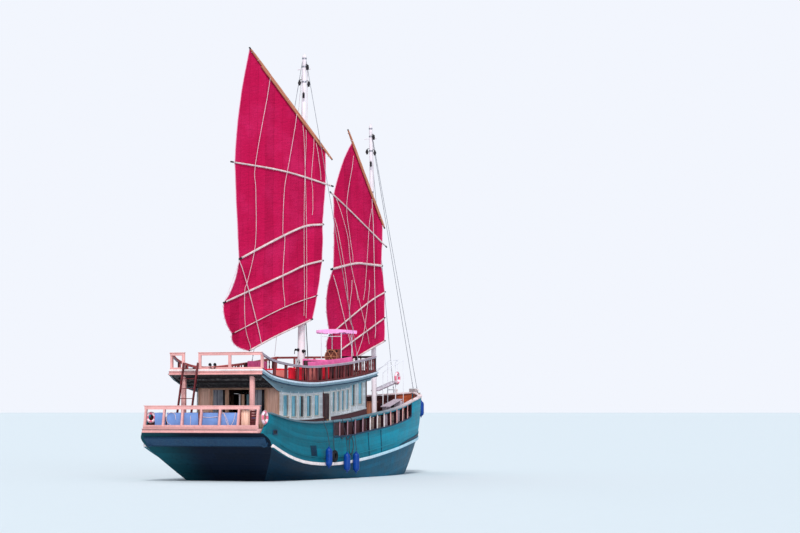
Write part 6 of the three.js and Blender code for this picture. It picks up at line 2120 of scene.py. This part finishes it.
def build_stage():
    bpy.context.scene.view_settings.view_transform = "Standard"
    bpy.ops.object.select_all(action="DESELECT")
    bpy.ops.mesh.primitive_plane_add(size=24000, location=(0, 0, 0))
    floor = added("studio_ground")
    coated(floor, "studio_floor")

    world = bpy.data.worlds.new("soft_studio")
    bpy.context.scene.world = world
    world.use_nodes = True
    world.node_tree.nodes.clear()
    g = Graph(world.node_tree)
    seen = g.add("LightPath").outputs["Is Camera Ray"]
    lit = g.add("Background", {"Color": (0.86, 0.92, 1.0, 1), "Strength": 0.55})
    pale = g.add("Background", {"Color": (0.89, 0.92, 0.99, 1), "Strength": 1.0})
    both = g.add("MixShader", {0: seen, 1: lit.outputs[0], 2: pale.outputs[0]})
    g.add("OutputWorld", {"Surface": both.outputs[0]})

    for name, place, strength, colour, spread_angle in (("key", (-38, -16, 47), 2.5, (1.0, 0.965, 0.93),
            14), ("fill", (-48, -42, 13), 1.2, (0.96, 0.97, 1.0), 40),
            ("rim", (40, 40, 40), 0.4, (1.0, 0.97, 0.95), 30)):
        data = bpy.data.lights.new(name, "SUN")
        data.energy, data.color, data.angle = strength, colour, math.radians(spread_angle)
        lamp = bpy.data.objects.new(name, data)
        bpy.context.collection.objects.link(lamp)
        lamp.location = place
        lamp.rotation_euler = (-Vector(place)).to_track_quat("-Z", "Y").to_euler()

    data = bpy.data.cameras.new("photo_camera")
    camera = bpy.data.objects.new("photo_camera", data)
    bpy.context.collection.objects.link(camera)
    data.sensor_width, data.lens = 36, 126
    data.clip_start, data.clip_end = 1, 20000
    camera.location = (-116.82, -53.07, 2.95)
    yaw, pitch = math.radians(22.5), math.radians(2.975)
    ahead = Vector((math.cos(yaw) * math.cos(pitch), math.sin(yaw) * math.cos(pitch), math.sin(pitch)))
    camera.rotation_euler = ahead.to_track_quat("-Z", "Y").to_euler()
    bpy.context.scene.camera = camera


# Add-on

class JunkSizes(bpy.types.PropertyGroup):
    plank: FloatProperty(name="Plank", description="Width of one plank on the topsides", default=0.17,
        min=0.05, max=0.5, unit="LENGTH", subtype="DISTANCE")


def paint_choice(name, description, default):
    return FloatVectorProperty(name=name, description=description, size=3, subtype="COLOR", min=0, max=1,
        default=default)


class JunkColours(bpy.types.PropertyGroup):
    topsides: paint_choice("Topsides", "Paint of the hull above the water", tint(4, 118, 140))
    trim: paint_choice("Trim", "Paint of the white strakes and trim", tint(238, 224, 224))
    stern: paint_choice("Stern rails", "Paint of the aft rail and the platform's edge", tint(217, 157, 155))
    house: paint_choice("Deck house", "Paint of the deck house's sides", tint(204, 208, 214))
    sails: paint_choice("Sails", "Dye of the sailcloth", tint(180, 16, 71))


class AddFinishes(bpy.types.Operator):
    """Makes the materials from the chosen colours"""
    bl_idname = "junk.finishes"
    bl_label = "Paint, wood, cloth and metal"

    def execute(self, context):
        finishes(context.scene.junk_colours)
        return {"FINISHED"}


class AddHull(bpy.types.Operator):
    """Planked hull, keel, stem, strakes and the band across the transom"""
    bl_idname = "junk.hull"
    bl_label = "Hull"

    def execute(self, context):
        build_hull()
        return {"FINISHED"}


class AddBulwarks(bpy.types.Operator):
    """Bulwarks, their posts and mouldings, and the cap rails"""
    bl_idname = "junk.bulwarks"
    bl_label = "Bulwarks"

    def execute(self, context):
        build_bulwarks()
        return {"FINISHED"}


class AddStern(bpy.types.Operator):
    """Aft platform, its rail, seat, ladder and posts"""
    bl_idname = "junk.stern"
    bl_label = "Stern"

    def execute(self, context):
        build_stern()
        return {"FINISHED"}


class AddHouse(bpy.types.Operator):
    """Walls, windows and doors of the deck house"""
    bl_idname = "junk.house"
    bl_label = "Deck house"

    def execute(self, context):
        build_house()
        return {"FINISHED"}


class AddUpperDeck(bpy.types.Operator):
    """Upper deck with its nosings, friezes and rails"""
    bl_idname = "junk.upper_deck"
    bl_label = "Upper deck"

    def execute(self, context):
        build_upper_deck()
        return {"FINISHED"}


class AddLounge(bpy.types.Operator):
    """Benches and cushions on the upper deck"""
    bl_idname = "junk.lounge"
    bl_label = "Lounge"

    def execute(self, context):
        build_lounge()
        return {"FINISHED"}


class AddHelm(bpy.types.Operator):
    """Console, wheel and awning"""
    bl_idname = "junk.helm"
    bl_label = "Helm"

    def execute(self, context):
        build_helm()
        return {"FINISHED"}


class AddForedeck(bpy.types.Operator):
    """Hatch, windlass, plank, locker and bitts"""
    bl_idname = "junk.foredeck"
    bl_label = "Foredeck"

    def execute(self, context):
        build_foredeck()
        return {"FINISHED"}


class AddFenders(bpy.types.Operator):
    """Fenders and the tyre on their lines"""
    bl_idname = "junk.fenders"
    bl_label = "Fenders"

    def execute(self, context):
        build_fenders()
        return {"FINISHED"}


class AddSternGear(bpy.types.Operator):
    """Rudder and screw"""
    bl_idname = "junk.stern_gear"
    bl_label = "Stern gear"

    def execute(self, context):
        build_stern_gear()
        return {"FINISHED"}


class AddMasts(bpy.types.Operator):
    """Masts with their bands, blocks and winches"""
    bl_idname = "junk.masts"
    bl_label = "Masts"

    def execute(self, context):
        build_masts()
        return {"FINISHED"}


class AddSails(bpy.types.Operator):
    """Sailcloth, battens, yards, booms and their ropes"""
    bl_idname = "junk.sails"
    bl_label = "Sails"

    def execute(self, context):
        build_sails()
        return {"FINISHED"}


class AddStays(bpy.types.Operator):
    """Stays, shrouds and their rigging screws"""
    bl_idname = "junk.stays"
    bl_label = "Stays"

    def execute(self, context):
        build_stays()
        return {"FINISHED"}


class AddRunningRigging(bpy.types.Operator):
    """Halyards, lifts and the downhaul at the main mast"""
    bl_idname = "junk.running_rigging"
    bl_label = "Running rigging"

    def execute(self, context):
        build_running_rigging()
        return {"FINISHED"}


class AddStage(bpy.types.Operator):
    """Floor, lights and camera"""
    bl_idname = "junk.stage"
    bl_label = "Stage"

    def execute(self, context):
        build_stage()
        return {"FINISHED"}


STEPS = (
    AddFinishes, AddHull, AddBulwarks, AddStern, AddHouse, AddUpperDeck, AddLounge, AddHelm,
    AddForedeck, AddFenders, AddSternGear, AddMasts, AddSails, AddStays, AddRunningRigging,
    AddStage,
)


class JunkPanel(bpy.types.Panel):
    """Sizes, colours and pieces of the junk"""
    bl_idname = "VIEW3D_PT_junk"
    bl_label = "Wooden junk"
    bl_space_type = "VIEW_3D"
    bl_region_type = "UI"
    bl_category = "Junk"

    def draw(self, context):
        scene = context.scene
        for group in (scene.junk_sizes, scene.junk_colours):
            for key in group.__annotations__:
                self.layout.prop(group, key)
        for step in STEPS:
            self.layout.operator(step.bl_idname, text=step.bl_label)


CLASSES = (JunkSizes, JunkColours, *STEPS, JunkPanel)


def register():
    for one in CLASSES:
        bpy.utils.register_class(one)
    bpy.types.Scene.junk_sizes = PointerProperty(type=JunkSizes)
    bpy.types.Scene.junk_colours = PointerProperty(type=JunkColours)


def unregister():
    del bpy.types.Scene.junk_colours
    del bpy.types.Scene.junk_sizes
    for one in reversed(CLASSES):
        bpy.utils.unregister_class(one)


def main():
    register()
    random.seed(SEED)
    for step in STEPS:
        group, name = step.bl_idname.split(".")
        getattr(getattr(bpy.ops, group), name)()
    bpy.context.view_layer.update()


if __name__ == "__main__":
    main()
